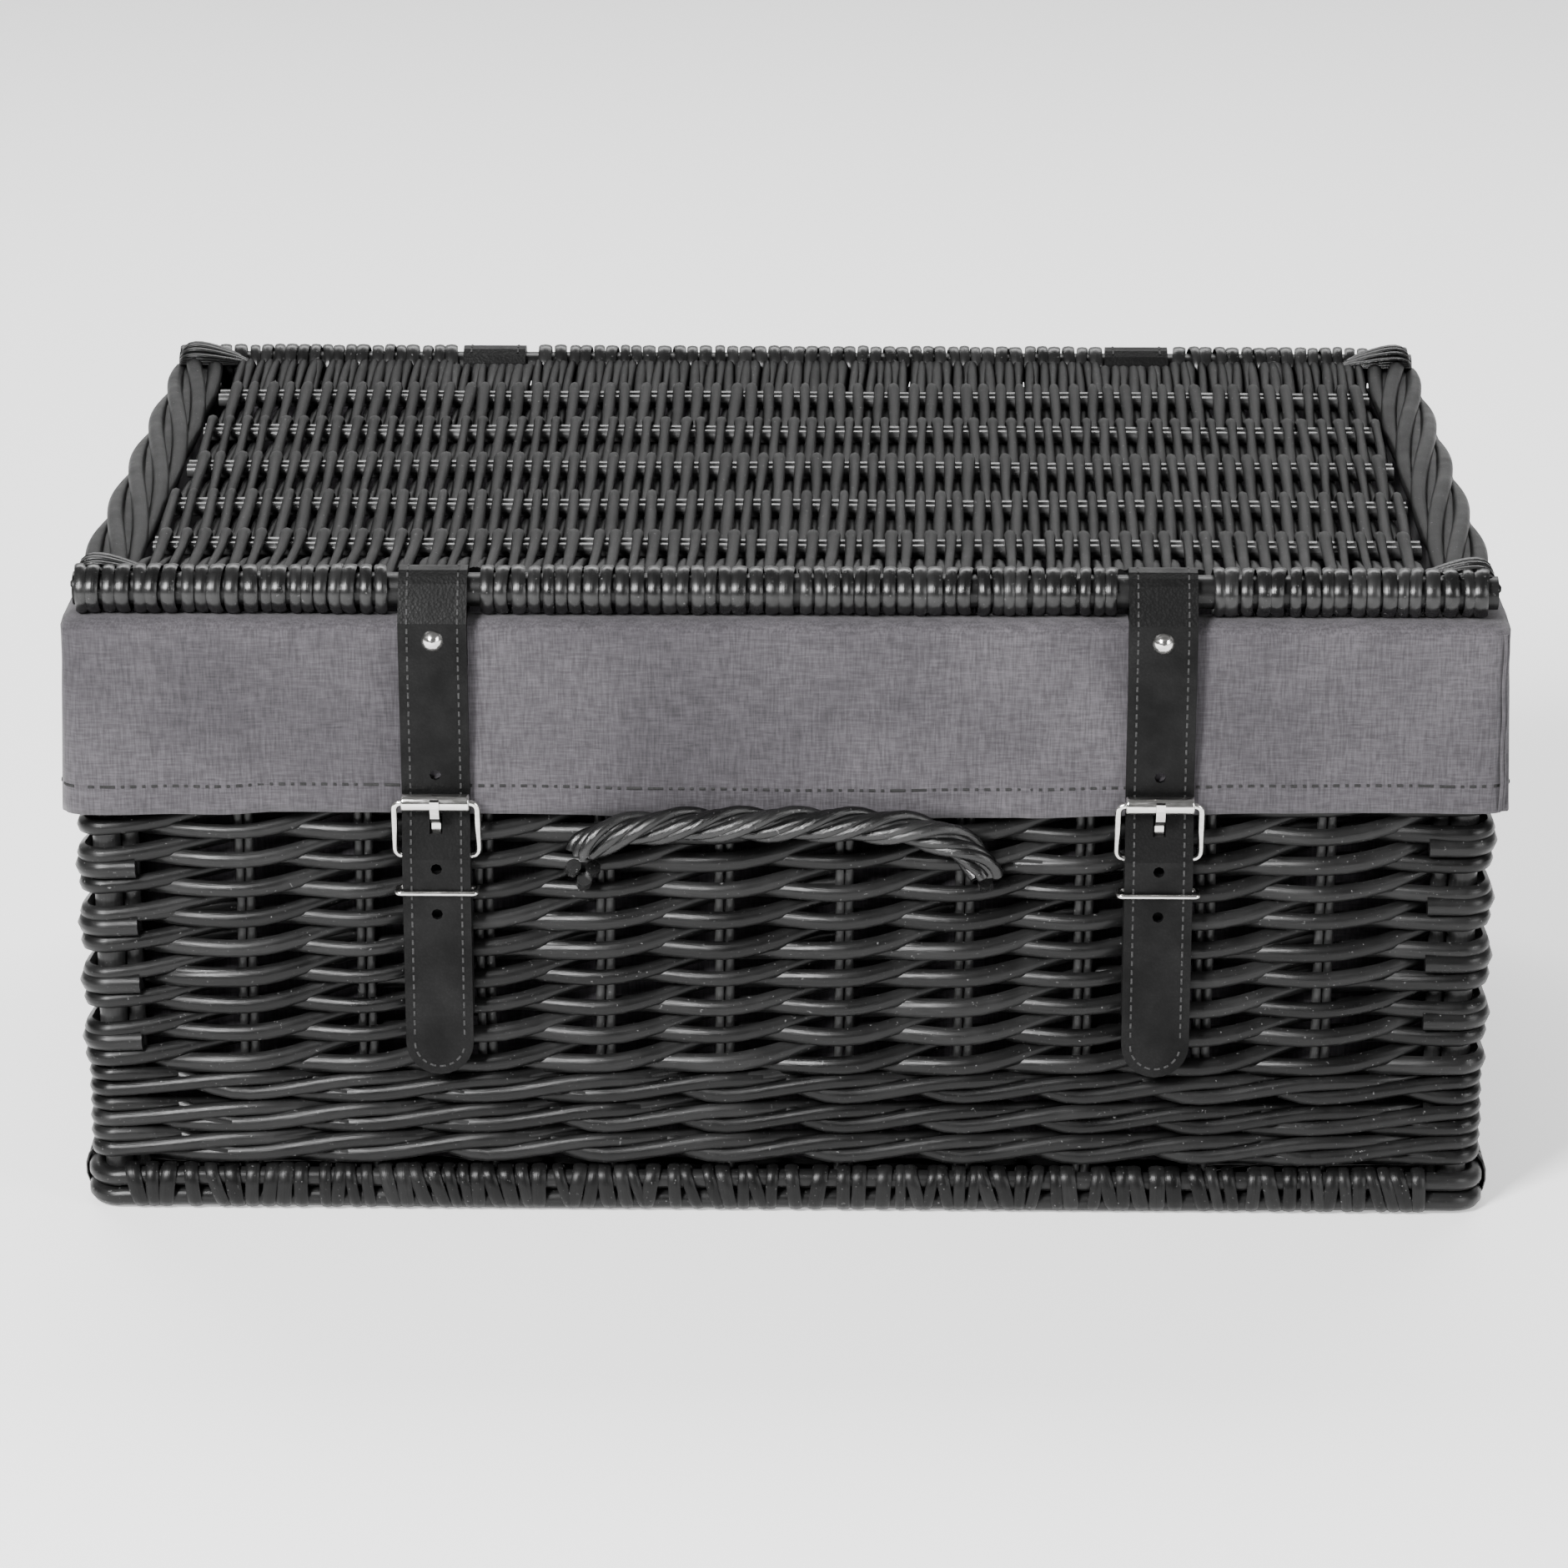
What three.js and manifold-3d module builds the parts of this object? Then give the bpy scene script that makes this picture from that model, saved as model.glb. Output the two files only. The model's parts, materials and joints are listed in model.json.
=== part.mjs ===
// A wicker picnic basket with a hinged lid, a cloth liner, two buckled leather straps and a willow handle.
// Millimetres, +Z up. The origin is the middle of the underside, and the straps are on the -Y side.
import * as THREE from "three";
import { mergeVertices } from "three/addons/utils/BufferGeometryUtils.js";
import Module from "manifold-3d";

const wasm = await Module();
wasm.setup();

// Overall sizes
const BASKET_WIDTH = 462; // outside of the side walls
const BASKET_DEPTH = 306; // outside of the front and back walls
const RIM_HEIGHT = 203; // top of the rim rods
const FIT = 0.3; // gap between pieces that touch

// Basket body
const WALL_THICKNESS = 8;
const ROW_PITCH = 10; // height of one row of weaving
const ROW_DEPTH = 1.2; // how far a row stands out from the joints above and below it
const POST_DIAMETER = 12;
const FOOT_DIAMETER = 12;
const RIM_DIAMETER = WALL_THICKNESS;

// Liner
const CLOTH = 1.5;
const LINER_CLEARANCE = 0.5;
const LINER_DROP = 65; // how far the valance hangs below the rim
const BAG_CORNER = 14;
const VALANCE_CORNER = 8;

// Lid
const LID_INSET = 3; // each side, from the outside of the side walls
const LID_OVERHANG = 1; // front and back, past the walls
const LID_ROD_DIAMETER = 11;
const LID_WRAP = 1.75; // willow wound round a lid rod
const BRAID_WIDTH = 20;
const BRAID_HEIGHT = 13;
const STAKE_DIAMETER = 5;
const STAKE_SPACING = 5.7; // between the two stakes of a pair
const STAKE_PAIRS = 5;
const WEAVE_OVER_STAKES = 11.6; // thickness of the lid's weave on the stakes
const WEAVE_BETWEEN_STAKES = 10;
const BINDING_WIDTH = 27;
const BINDING_DEPTH = 14;
const BINDING_RISE = 6;
const BINDING_INSET = 14; // from the lid's side to the middle of the binding

// Leather
const STRAP_WIDTH = 22;
const STRAP_THICKNESS = 2;
const STRAP_CENTRES = { left: -112.3, right: 121 };
const HOLE_DIAMETER = 3.7;
const HOLE_PITCH = 15.4;
const SLOT_MARGIN = 1; // at each end of the hole that the prong has worn long
const HINGE_WIDTH = 23;
const HINGE_CENTRES = { left: -111, right: 126.3 };
const HINGE_DROP = 48; // below the lid's back rod
const HINGE_RIVET_DROP = 38;
const BUCKLE_LEATHER = 1.6;
const BUCKLE_LEATHER_DROP = 55; // below the heel bar
const FOLD_DROP = 34; // end of the folded layer below the heel bar

// Metal
const HEEL_BELOW_VALANCE = 13.8;
const WIRE = 2.2;
const KNEE_SWELL = 1.02; // a bent wire's knee against its straight length
const FRAME_WIDTH = 29;
const FRAME_SPAN = 19.8; // heel bar to roller bar
const ROLLER_DIAMETER = 6;
const ROLLER_LENGTH = 22;
const PRONG_WIDTH = 2.9;
const PRONG_THICKNESS = 2;
const KEEPER_WIRE = 1.6;
const KEEPER_WIDTH = 27.5;
const KEEPER_DROP = 11; // below the heel bar
const RIVET_HEAD = 8;
const RIVET_SHANK = 3;
const RIVET_DOME = 2.2;
const RIVET_MARGIN = 1; // from a rivet's head to the end of the leather
const SLOT_UNDER_ROLLER = 1; // how far the prong's hole reaches past the level of the roller's middle
const STRAP_RIVET_DROP = 3.7; // below the rim
const TAIL_BELOW_RIVET = 9;
const TIP_DROP = 74; // below the heel bar
const TIP_LENGTH = 11;

// Handle
const HANDLE_SPAN = 129.6;
const HANDLE_DIAMETER = 12.5;
const HANDLE_RISE = 17.5;
const HANDLE_BELOW_VALANCE = 18;

// Sides of the polygons that stand for round sections
const ROD_SIDES = 12;
const WIRE_SIDES = 8;
const ARC_STEPS = 6;
const HANDLE_STEPS = 24; // along the handle
const WEAVE_STEPS = 8; // across one pair of lid stakes

// Heights and faces that follow from the sizes above
const halfWidth = BASKET_WIDTH / 2;
const halfDepth = BASKET_DEPTH / 2;
const linerTop = RIM_HEIGHT + FIT + CLOTH;
const valanceBottom = linerTop - LINER_DROP;
const valanceFace = halfDepth + LINER_CLEARANCE + CLOTH;
const loopRadius = LID_ROD_DIAMETER / 2 + FIT + STRAP_THICKNESS / 2; // of the leather round a lid rod
const lidHeight = linerTop + FIT + loopRadius + STRAP_THICKNESS / 2; // middle of the lid's rods
const lidHalfWidth = halfWidth - LID_INSET;
const wrappedDiameter = LID_ROD_DIAMETER + 2 * LID_WRAP;
const lidRodOffset = halfDepth + LID_OVERHANG - wrappedDiameter / 2;
const heelHeight = valanceBottom - HEEL_BELOW_VALANCE;

const materials = {
  willow: new THREE.MeshStandardMaterial({ color: 0x1b1b1c, roughness: 0.55, metalness: 0 }),
  peeledStakes: new THREE.MeshStandardMaterial({ color: 0x262627, roughness: 0.5, metalness: 0 }),
  cloth: new THREE.MeshStandardMaterial({ color: 0x8d8a8e, roughness: 0.95, metalness: 0 }),
  leather: new THREE.MeshStandardMaterial({ color: 0x151515, roughness: 0.6, metalness: 0 }),
  nickel: new THREE.MeshStandardMaterial({ color: 0xd5d5d2, roughness: 0.2, metalness: 1 }),
};

// ---- Solids ----

function toSolid(geometry) {
  const bare = geometry.clone();
  bare.deleteAttribute("normal");
  bare.deleteAttribute("uv");
  const merged = mergeVertices(bare);
  return new wasm.Manifold(
    new wasm.Mesh({
      numProp: 3,
      vertProperties: merged.attributes.position.array,
      triVerts: new Uint32Array(merged.index.array),
    }),
  );
}

function toGeometry(solid) {
  const mesh = solid.getMesh();
  return new THREE.BufferGeometry()
    .setAttribute("position", new THREE.BufferAttribute(mesh.vertProperties, 3))
    .setIndex(new THREE.BufferAttribute(mesh.triVerts, 1));
}

function join(first, ...others) {
  return toGeometry(others.reduce((sum, piece) => sum.add(toSolid(piece)), toSolid(first)));
}

function cut(first, ...tools) {
  return toGeometry(tools.reduce((rest, tool) => rest.subtract(toSolid(tool)), toSolid(first)));
}

function common(first, second) {
  return toGeometry(toSolid(first).intersect(toSolid(second)));
}

function block(low, high) {
  const size = new THREE.Vector3().subVectors(high, low);
  const middle = new THREE.Vector3().addVectors(low, high).multiplyScalar(1 / 2);
  return new THREE.BoxGeometry(size.x, size.y, size.z).translate(middle.x, middle.y, middle.z);
}

const at = (x, y, z) => new THREE.Vector3(x, y, z);

// A straight round rod between two points.
function rod(diameter, from, to, sides = ROD_SIDES) {
  const run = new THREE.Vector3().subVectors(to, from);
  const middle = new THREE.Vector3().addVectors(from, to).multiplyScalar(1 / 2);
  const turn = new THREE.Quaternion().setFromUnitVectors(at(0, 1, 0), run.clone().normalize());
  const radius = diameter / 2;
  return new THREE.CylinderGeometry(radius, radius, run.length(), sides)
    .applyQuaternion(turn)
    .translate(middle.x, middle.y, middle.z);
}

// A circle's outline as a shape with a few straight sides.
function disc(radius, sides, x = 0, y = 0) {
  const corners = Array.from({ length: sides }, (_, i) => (2 * Math.PI * (i + 1 / 2)) / sides);
  const corner = (angle) => new THREE.Vector2(x + radius * Math.cos(angle), y + radius * Math.sin(angle));
  return corners.map(corner);
}

function roundedRectangle(halfX, halfY, radius) {
  const shape = new THREE.Shape();
  shape.absarc(halfX - radius, halfY - radius, radius, 0, Math.PI / 2);
  shape.absarc(radius - halfX, halfY - radius, radius, Math.PI / 2, Math.PI);
  shape.absarc(radius - halfX, radius - halfY, radius, Math.PI, (3 * Math.PI) / 2);
  shape.absarc(halfX - radius, radius - halfY, radius, (3 * Math.PI) / 2, 2 * Math.PI);
  return shape;
}

const extrude = (shape, depth) =>
  new THREE.ExtrudeGeometry(shape, { depth, bevelEnabled: false, curveSegments: ARC_STEPS });

// A shape drawn in X and Y, from one height to another.
const upright = (shape, bottom, top) => extrude(shape, top - bottom).translate(0, 0, bottom);

// A shape drawn in Y and Z, centred on X = 0.
function alongX(shape, width) {
  const turn = new THREE.Matrix4().makeBasis(at(0, 1, 0), at(0, 0, 1), at(1, 0, 0));
  return extrude(shape, width).translate(0, 0, -width / 2).applyMatrix4(turn);
}

// A shape drawn in X and Z, from one Y to another.
function alongY(shape, front, back) {
  const turn = new THREE.Matrix4().makeBasis(at(1, 0, 0), at(0, 0, 1), at(0, -1, 0));
  return extrude(shape, back - front).applyMatrix4(turn).translate(0, back, 0);
}

// A flat strip bent along a path drawn in Y and Z.
function ribbon(path, thickness, width) {
  const isNew = (point, i, all) => i === 0 || point.distanceTo(all[i - 1]) > FIT / 10;
  const middle = path.getPoints(ARC_STEPS).filter(isNew);
  const last = middle.length - 1;
  const side = (sign) =>
    middle.map((point, i) => {
      const into = new THREE.Vector2().subVectors(point, middle[Math.max(i - 1, 0)]).normalize();
      const out = new THREE.Vector2().subVectors(middle[Math.min(i + 1, last)], point).normalize();
      const along = into.clone().add(out).normalize();
      const straight = i === 0 || i === last ? along : out;
      const reach = thickness / 2 / along.dot(straight);
      return new THREE.Vector2(point.x - sign * reach * along.y, point.y + sign * reach * along.x);
    });
  return alongX(new THREE.Shape([...side(1), ...side(-1).reverse()]), width);
}

// ---- Basket body ----

function basePanel() {
  const inset = FOOT_DIAMETER + FIT;
  const shape = roundedRectangle(halfWidth - inset, halfDepth - inset, FOOT_DIAMETER / 2);
  return upright(shape, 0, FOOT_DIAMETER);
}

// A rod along X between the corner posts, with a flat facet down.
function borderRod(diameter, length) {
  return alongX(new THREE.Shape(disc(diameter / 2 / Math.cos(Math.PI / ROD_SIDES), ROD_SIDES)), length);
}

// A wall's section: rows of weaving outside, a flat face inside. The wall's middle plane is Y = 0.
function wallSection(bottom, top) {
  const face = -WALL_THICKNESS / 2;
  const rows = Math.round((top - bottom) / ROW_PITCH);
  const pitch = (top - bottom) / rows;
  const outside = [];
  for (let row = 0; row < rows; row += 1) {
    outside.push(new THREE.Vector2(face + ROW_DEPTH, bottom + row * pitch));
    outside.push(new THREE.Vector2(face, bottom + (row + 1 / 4) * pitch));
    outside.push(new THREE.Vector2(face, bottom + (row + 3 / 4) * pitch));
  }
  outside.push(new THREE.Vector2(face + ROW_DEPTH, top));
  const inside = [new THREE.Vector2(-face, bottom), new THREE.Vector2(-face, top)];
  return new THREE.Shape([...outside.reverse(), ...inside]);
}

function wall(length) {
  return alongX(wallSection(FOOT_DIAMETER + FIT, RIM_HEIGHT - RIM_DIAMETER - FIT), length);
}

function liner() {
  const bagX = halfWidth - WALL_THICKNESS - LINER_CLEARANCE;
  const bagY = halfDepth - WALL_THICKNESS - LINER_CLEARANCE;
  const bagBottom = FOOT_DIAMETER + FIT;
  const valanceX = halfWidth + LINER_CLEARANCE + CLOTH;
  const valance = upright(roundedRectangle(valanceX, valanceFace, VALANCE_CORNER), valanceBottom, linerTop);
  const overRim = upright(
    roundedRectangle(valanceX - CLOTH, valanceFace - CLOTH, VALANCE_CORNER - CLOTH),
    valanceBottom - CLOTH,
    linerTop - CLOTH,
  );
  const bag = upright(roundedRectangle(bagX, bagY, BAG_CORNER), bagBottom, linerTop);
  const inside = upright(
    roundedRectangle(bagX - CLOTH, bagY - CLOTH, BAG_CORNER - CLOTH),
    bagBottom + CLOTH,
    linerTop + CLOTH,
  );
  return cut(join(cut(valance, overRim), bag), inside);
}

// ---- Lid: heights are from the middle of its rods ----

// A lid rod: bare where leather goes round it, wrapped everywhere else.
function lidRod(bareCentres, bareWidth) {
  const bare = LID_ROD_DIAMETER / 2;
  const wrapped = wrappedDiameter / 2;
  const profile = [new THREE.Vector2(0, -lidHalfWidth), new THREE.Vector2(wrapped, -lidHalfWidth)];
  for (const centre of bareCentres) {
    profile.push(new THREE.Vector2(wrapped, centre - bareWidth / 2));
    profile.push(new THREE.Vector2(bare, centre - bareWidth / 2));
    profile.push(new THREE.Vector2(bare, centre + bareWidth / 2));
    profile.push(new THREE.Vector2(wrapped, centre + bareWidth / 2));
  }
  profile.push(new THREE.Vector2(wrapped, lidHalfWidth), new THREE.Vector2(0, lidHalfWidth));
  return new THREE.LatheGeometry(profile, ROD_SIDES).rotateZ(-Math.PI / 2);
}

const stakePitch = (2 * lidRodOffset) / (STAKE_PAIRS + 1);
const stakePairs = Array.from({ length: STAKE_PAIRS }, (_, i) => (i + 1) * stakePitch - lidRodOffset);
const weaveHalfWidth = lidHalfWidth - BRAID_WIDTH - FIT;
const weaveHalfDepth = lidRodOffset - wrappedDiameter / 2 - FIT;

// The weavers run from front to back and rise over each pair of stakes.
function lidWeave() {
  const steps = WEAVE_STEPS * (STAKE_PAIRS + 1);
  const face = (sign) =>
    Array.from({ length: steps + 1 }, (_, i) => {
      const y = weaveHalfDepth * ((2 * i) / steps - 1);
      const rise = (1 + Math.cos((2 * Math.PI * (y + lidRodOffset)) / stakePitch)) / 2;
      const thickness = WEAVE_BETWEEN_STAKES + (WEAVE_OVER_STAKES - WEAVE_BETWEEN_STAKES) * rise;
      return new THREE.Vector2(y, (sign * thickness) / 2);
    });
  const shape = new THREE.Shape([...face(-1), ...face(1).reverse()]);
  for (const pair of stakePairs) {
    for (const side of [-1, 1]) {
      const bore = disc(STAKE_DIAMETER / 2 + FIT, WIRE_SIDES, pair + (side * STAKE_SPACING) / 2);
      shape.holes.push(new THREE.Path(bore));
    }
  }
  const notch = (centre, width, side) => {
    const reach = lidRodOffset - loopRadius - STRAP_THICKNESS / 2 - 2 * FIT;
    const [nearY, farY] = [side * reach, side * lidRodOffset].sort((a, b) => a - b);
    const low = at(centre - width / 2 - FIT, nearY, -WEAVE_OVER_STAKES);
    const high = at(centre + width / 2 + FIT, farY, WEAVE_OVER_STAKES);
    return block(low, high);
  };
  return cut(
    alongX(shape, 2 * weaveHalfWidth),
    ...Object.values(STRAP_CENTRES).map((centre) => notch(centre, STRAP_WIDTH, -1)),
    ...Object.values(HINGE_CENTRES).map((centre) => notch(centre, HINGE_WIDTH, 1)),
  );
}

function lidBraid() {
  const section = new THREE.Shape();
  section.absellipse(0, 0, BRAID_WIDTH / 2, BRAID_HEIGHT / 2, 0, 2 * Math.PI);
  return alongY(section, -weaveHalfDepth, weaveHalfDepth);
}

function cornerBinding() {
  const arch = new THREE.Shape();
  arch.absellipse(0, 0, BINDING_WIDTH / 2, BINDING_RISE, 0, Math.PI);
  return alongY(arch, -BINDING_DEPTH / 2, BINDING_DEPTH / 2);
}

// ---- Leather and metal: X is from the middle of each strap ----

// A rivet with a domed head towards -Y. Its seat, under the head, is Y = 0.
function rivet(shankLength) {
  const profile = [new THREE.Vector2(0, -shankLength), new THREE.Vector2(RIVET_SHANK / 2, -shankLength)];
  profile.push(new THREE.Vector2(RIVET_SHANK / 2, 0), new THREE.Vector2(RIVET_HEAD / 2, 0));
  for (let i = 1; i <= ARC_STEPS / 2; i += 1) {
    const angle = (i * Math.PI) / ARC_STEPS;
    profile.push(new THREE.Vector2((RIVET_HEAD / 2) * Math.cos(angle), RIVET_DOME * Math.sin(angle)));
  }
  return new THREE.LatheGeometry(profile, ROD_SIDES).rotateX(Math.PI);
}

const boreAlongY = (diameter, z, front, back) => rod(diameter, at(0, front, z), at(0, back, z), WIRE_SIDES);

// The hinge strap lies on the back of the valance and goes round the lid's back rod.
const hingeFace = valanceFace + FIT + STRAP_THICKNESS / 2;
const hingeRivetHeight = lidHeight - HINGE_RIVET_DROP;

function hingeStrap() {
  const path = new THREE.Path();
  path.moveTo(hingeFace, lidHeight - HINGE_DROP);
  path.lineTo(hingeFace, linerTop);
  path.lineTo(lidRodOffset + loopRadius, lidHeight);
  path.absarc(lidRodOffset, lidHeight, loopRadius, 0, (3 * Math.PI) / 2);
  const strap = ribbon(path, STRAP_THICKNESS, HINGE_WIDTH);
  const boreEnd = valanceFace + 2 * STRAP_THICKNESS;
  return cut(strap, boreAlongY(RIVET_SHANK + 2 * FIT, hingeRivetHeight, valanceFace, boreEnd));
}

// The heel bar's leather lies on the wall and goes over the bar, then down before the keeper's back wire.
const buckleLeatherY = -(halfDepth + FIT + BUCKLE_LEATHER / 2);
const heelLoopRadius = WIRE / 2 + FIT + BUCKLE_LEATHER / 2;
const heelY = buckleLeatherY - heelLoopRadius;
const keeperHeight = heelHeight - KEEPER_DROP;
const keeperBackY = buckleLeatherY - BUCKLE_LEATHER / 2 - FIT - KEEPER_WIRE / 2;
const foldY = Math.min(keeperBackY - KEEPER_WIRE / 2 - FIT - BUCKLE_LEATHER / 2, heelY - heelLoopRadius);
const foldEndY = buckleLeatherY - BUCKLE_LEATHER - FIT;
const buckleRivetHeight = heelHeight - FOLD_DROP + RIVET_HEAD / 2 + RIVET_MARGIN;

function buckleStrap() {
  const path = new THREE.Path();
  path.moveTo(buckleLeatherY, heelHeight - BUCKLE_LEATHER_DROP);
  path.lineTo(buckleLeatherY, heelHeight);
  path.absarc(heelY, heelHeight, heelLoopRadius, 0, Math.PI);
  path.lineTo(foldY, keeperHeight - 2 * KEEPER_WIRE);
  path.lineTo(foldEndY, buckleRivetHeight + RIVET_HEAD / 2 + FIT);
  path.lineTo(foldEndY, heelHeight - FOLD_DROP);
  const slotHalf = PRONG_WIDTH / 2 + 2 * FIT;
  const slotHeight = 2 * heelLoopRadius;
  return cut(
    ribbon(path, BUCKLE_LEATHER, STRAP_WIDTH),
    block(
      at(-slotHalf, foldY - BUCKLE_LEATHER, heelHeight - slotHeight),
      at(slotHalf, -halfDepth, heelHeight + slotHeight),
    ),
    boreAlongY(RIVET_SHANK + 2 * FIT, buckleRivetHeight, foldY - BUCKLE_LEATHER, -halfDepth),
  );
}

// The long strap passes behind the roller and in front of the heel bar.
const strapTailY = -(valanceFace + FIT + STRAP_THICKNESS / 2);
const strapFrontY = strapTailY - STRAP_THICKNESS - FIT;
const strapRollerY = strapTailY;
const strapHeelY = heelY - heelLoopRadius - BUCKLE_LEATHER / 2 - FIT - STRAP_THICKNESS / 2;
const strapKeeperY = foldY - BUCKLE_LEATHER / 2 - FIT - STRAP_THICKNESS / 2;
const strapRivetY = foldEndY - BUCKLE_LEATHER / 2 - RIVET_DOME - 2 * FIT - STRAP_THICKNESS / 2;
const strapRivetHeight = RIM_HEIGHT - STRAP_RIVET_DROP;
const rollerY = strapRollerY - STRAP_THICKNESS / 2 - FIT - ROLLER_DIAMETER / 2;
const rollerHeight = heelHeight + Math.sqrt(FRAME_SPAN ** 2 - (rollerY - heelY) ** 2);
const strapTipHeight = heelHeight - TIP_DROP;
const prongSlot = 2 * STRAP_THICKNESS + PRONG_THICKNESS + 2 * SLOT_MARGIN;
const prongHoleHeight = rollerHeight - prongSlot + SLOT_UNDER_ROLLER;

function strapPath() {
  const toShoulder = new THREE.Vector2(-lidRodOffset - strapFrontY, lidHeight - linerTop);
  const leaves = Math.PI / 2 + toShoulder.angle() + Math.asin(loopRadius / toShoulder.length());
  const path = new THREE.Path();
  path.moveTo(strapTailY, strapRivetHeight - TAIL_BELOW_RIVET);
  path.lineTo(strapTailY, linerTop);
  path.absarc(-valanceFace, linerTop, FIT + STRAP_THICKNESS / 2, Math.PI, Math.PI / 2, true);
  path.lineTo(-lidRodOffset, lidHeight - loopRadius);
  path.absarc(-lidRodOffset, lidHeight, loopRadius, -Math.PI / 2, leaves);
  path.lineTo(strapFrontY, linerTop);
  path.lineTo(strapFrontY, strapRivetHeight - TAIL_BELOW_RIVET - STRAP_THICKNESS);
  path.lineTo(strapRollerY, rollerHeight + ROLLER_DIAMETER / 2);
  path.lineTo(strapRollerY, rollerHeight);
  path.lineTo(strapHeelY, heelHeight);
  path.lineTo(strapKeeperY, keeperHeight);
  path.lineTo(strapRivetY, buckleRivetHeight);
  path.lineTo(strapRivetY, strapTipHeight);
  return path;
}

function strapOutline() {
  const half = STRAP_WIDTH / 2;
  const outline = new THREE.Shape();
  outline.moveTo(half, lidHeight + wrappedDiameter);
  outline.lineTo(-half, lidHeight + wrappedDiameter);
  outline.lineTo(-half, strapTipHeight + TIP_LENGTH);
  outline.absellipse(0, strapTipHeight + TIP_LENGTH, half, TIP_LENGTH, Math.PI, 2 * Math.PI);
  return outline;
}

function strap() {
  const front = strapFrontY - STRAP_THICKNESS;
  const outline = alongY(strapOutline(), front - RIVET_HEAD, 0);
  const band = common(ribbon(strapPath(), STRAP_THICKNESS, STRAP_WIDTH), outline);
  const holes = [1, -1, -2].map((step) =>
    boreAlongY(HOLE_DIAMETER, prongHoleHeight + step * HOLE_PITCH, front - RIVET_HEAD, -halfDepth),
  );
  const slotHalf = PRONG_WIDTH / 2 + 2 * FIT;
  const slot = block(
    at(-slotHalf, front - RIVET_HEAD, prongHoleHeight - prongSlot / 2),
    at(slotHalf, -halfDepth, prongHoleHeight + prongSlot / 2),
  );
  return cut(band, ...holes, slot, boreAlongY(RIVET_SHANK + 2 * FIT, strapRivetHeight, front, -halfDepth));
}

// The frame is one bent wire: heel bar, two side bars and the bar inside the roller.
function buckleFrame() {
  const side = (FRAME_WIDTH - WIRE) / 2;
  const corners = [
    at(-side, heelY, heelHeight),
    at(side, heelY, heelHeight),
    at(side, rollerY, rollerHeight),
    at(-side, rollerY, rollerHeight),
  ];
  const kneeRadius = (WIRE / 2) * KNEE_SWELL;
  const bars = corners.map((corner, i) => rod(WIRE, corner, corners[(i + 1) % corners.length], WIRE_SIDES));
  const knees = corners.map((corner) =>
    new THREE.SphereGeometry(kneeRadius, WIRE_SIDES, ARC_STEPS).translate(corner.x, corner.y, corner.z),
  );
  return join(...bars, ...knees);
}

function roller() {
  const ring = new THREE.Shape(disc(ROLLER_DIAMETER / 2, ROD_SIDES, rollerY, rollerHeight));
  ring.holes.push(new THREE.Path(disc(WIRE / 2 + FIT, WIRE_SIDES, rollerY, rollerHeight)));
  return alongX(ring, ROLLER_LENGTH);
}

// The prong turns on the heel bar, comes through the strap and rests on the front of the roller.
function prong() {
  const ring = new THREE.Shape(disc(WIRE / 2 + FIT + PRONG_THICKNESS / 2, ROD_SIDES, heelY, heelHeight));
  ring.holes.push(new THREE.Path(disc(WIRE / 2 + FIT, WIRE_SIDES, heelY, heelHeight)));
  const restY = rollerY - ROLLER_DIAMETER / 2 - 2 * FIT - PRONG_THICKNESS / 2;
  const path = new THREE.Path();
  path.moveTo(heelY, heelHeight + WIRE / 2 + FIT + PRONG_THICKNESS / 4);
  const kneeHeight = (heelHeight + prongHoleHeight) / 2;
  path.quadraticCurveTo(heelY, kneeHeight, strapRollerY - STRAP_THICKNESS / 2, prongHoleHeight);
  path.quadraticCurveTo(restY, prongHoleHeight + PRONG_THICKNESS, restY, rollerHeight + PRONG_THICKNESS);
  return join(alongX(ring, PRONG_WIDTH), ribbon(path, PRONG_THICKNESS, PRONG_WIDTH));
}

// A wire loop round the long strap and the folded leather.
function keeper() {
  const front = strapKeeperY - STRAP_THICKNESS / 2 - FIT - KEEPER_WIRE;
  const back = keeperBackY + KEEPER_WIRE / 2;
  const low = keeperHeight - KEEPER_WIRE / 2;
  const high = keeperHeight + KEEPER_WIRE / 2;
  const half = KEEPER_WIDTH / 2;
  const outer = block(at(-half, front, low), at(half, back, high));
  const inner = block(
    at(KEEPER_WIRE - half, front + KEEPER_WIRE, low - KEEPER_WIRE),
    at(half - KEEPER_WIRE, back - KEEPER_WIRE, high + KEEPER_WIRE),
  );
  return cut(outer, inner);
}

// ---- Handle: an arch lying against the valance, with a round end on the swing axis at each side ----
const handleAxisY = -(valanceFace + FIT + HANDLE_DIAMETER / 2);
const handleAxisHeight = valanceBottom - HANDLE_BELOW_VALANCE;

function frontHandle() {
  const half = HANDLE_SPAN / 2;
  const arch = new THREE.CubicBezierCurve3(
    at(-half, 0, 0),
    at(-half / 2, 0, (HANDLE_RISE * 4) / 3),
    at(half / 2, 0, (HANDLE_RISE * 4) / 3),
    at(half, 0, 0),
  );
  const section = new THREE.Shape(disc(HANDLE_DIAMETER / 2, WIRE_SIDES));
  const settings = { steps: HANDLE_STEPS, extrudePath: arch, bevelEnabled: false };
  const grip = new THREE.ExtrudeGeometry(section, settings);
  const ends = [-half, half].map((x) =>
    new THREE.SphereGeometry(HANDLE_DIAMETER / 2, ROD_SIDES, ARC_STEPS).translate(x, 0, 0),
  );
  return join(grip, ...ends);
}

// ---- Assembly ----

function add(parent, name, geometry, material, position = at(0, 0, 0), turn = 0) {
  const mesh = new THREE.Mesh(geometry, material.clone());
  mesh.name = name;
  mesh.position.copy(position);
  mesh.rotation.z = turn;
  parent.add(mesh);
}

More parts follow.
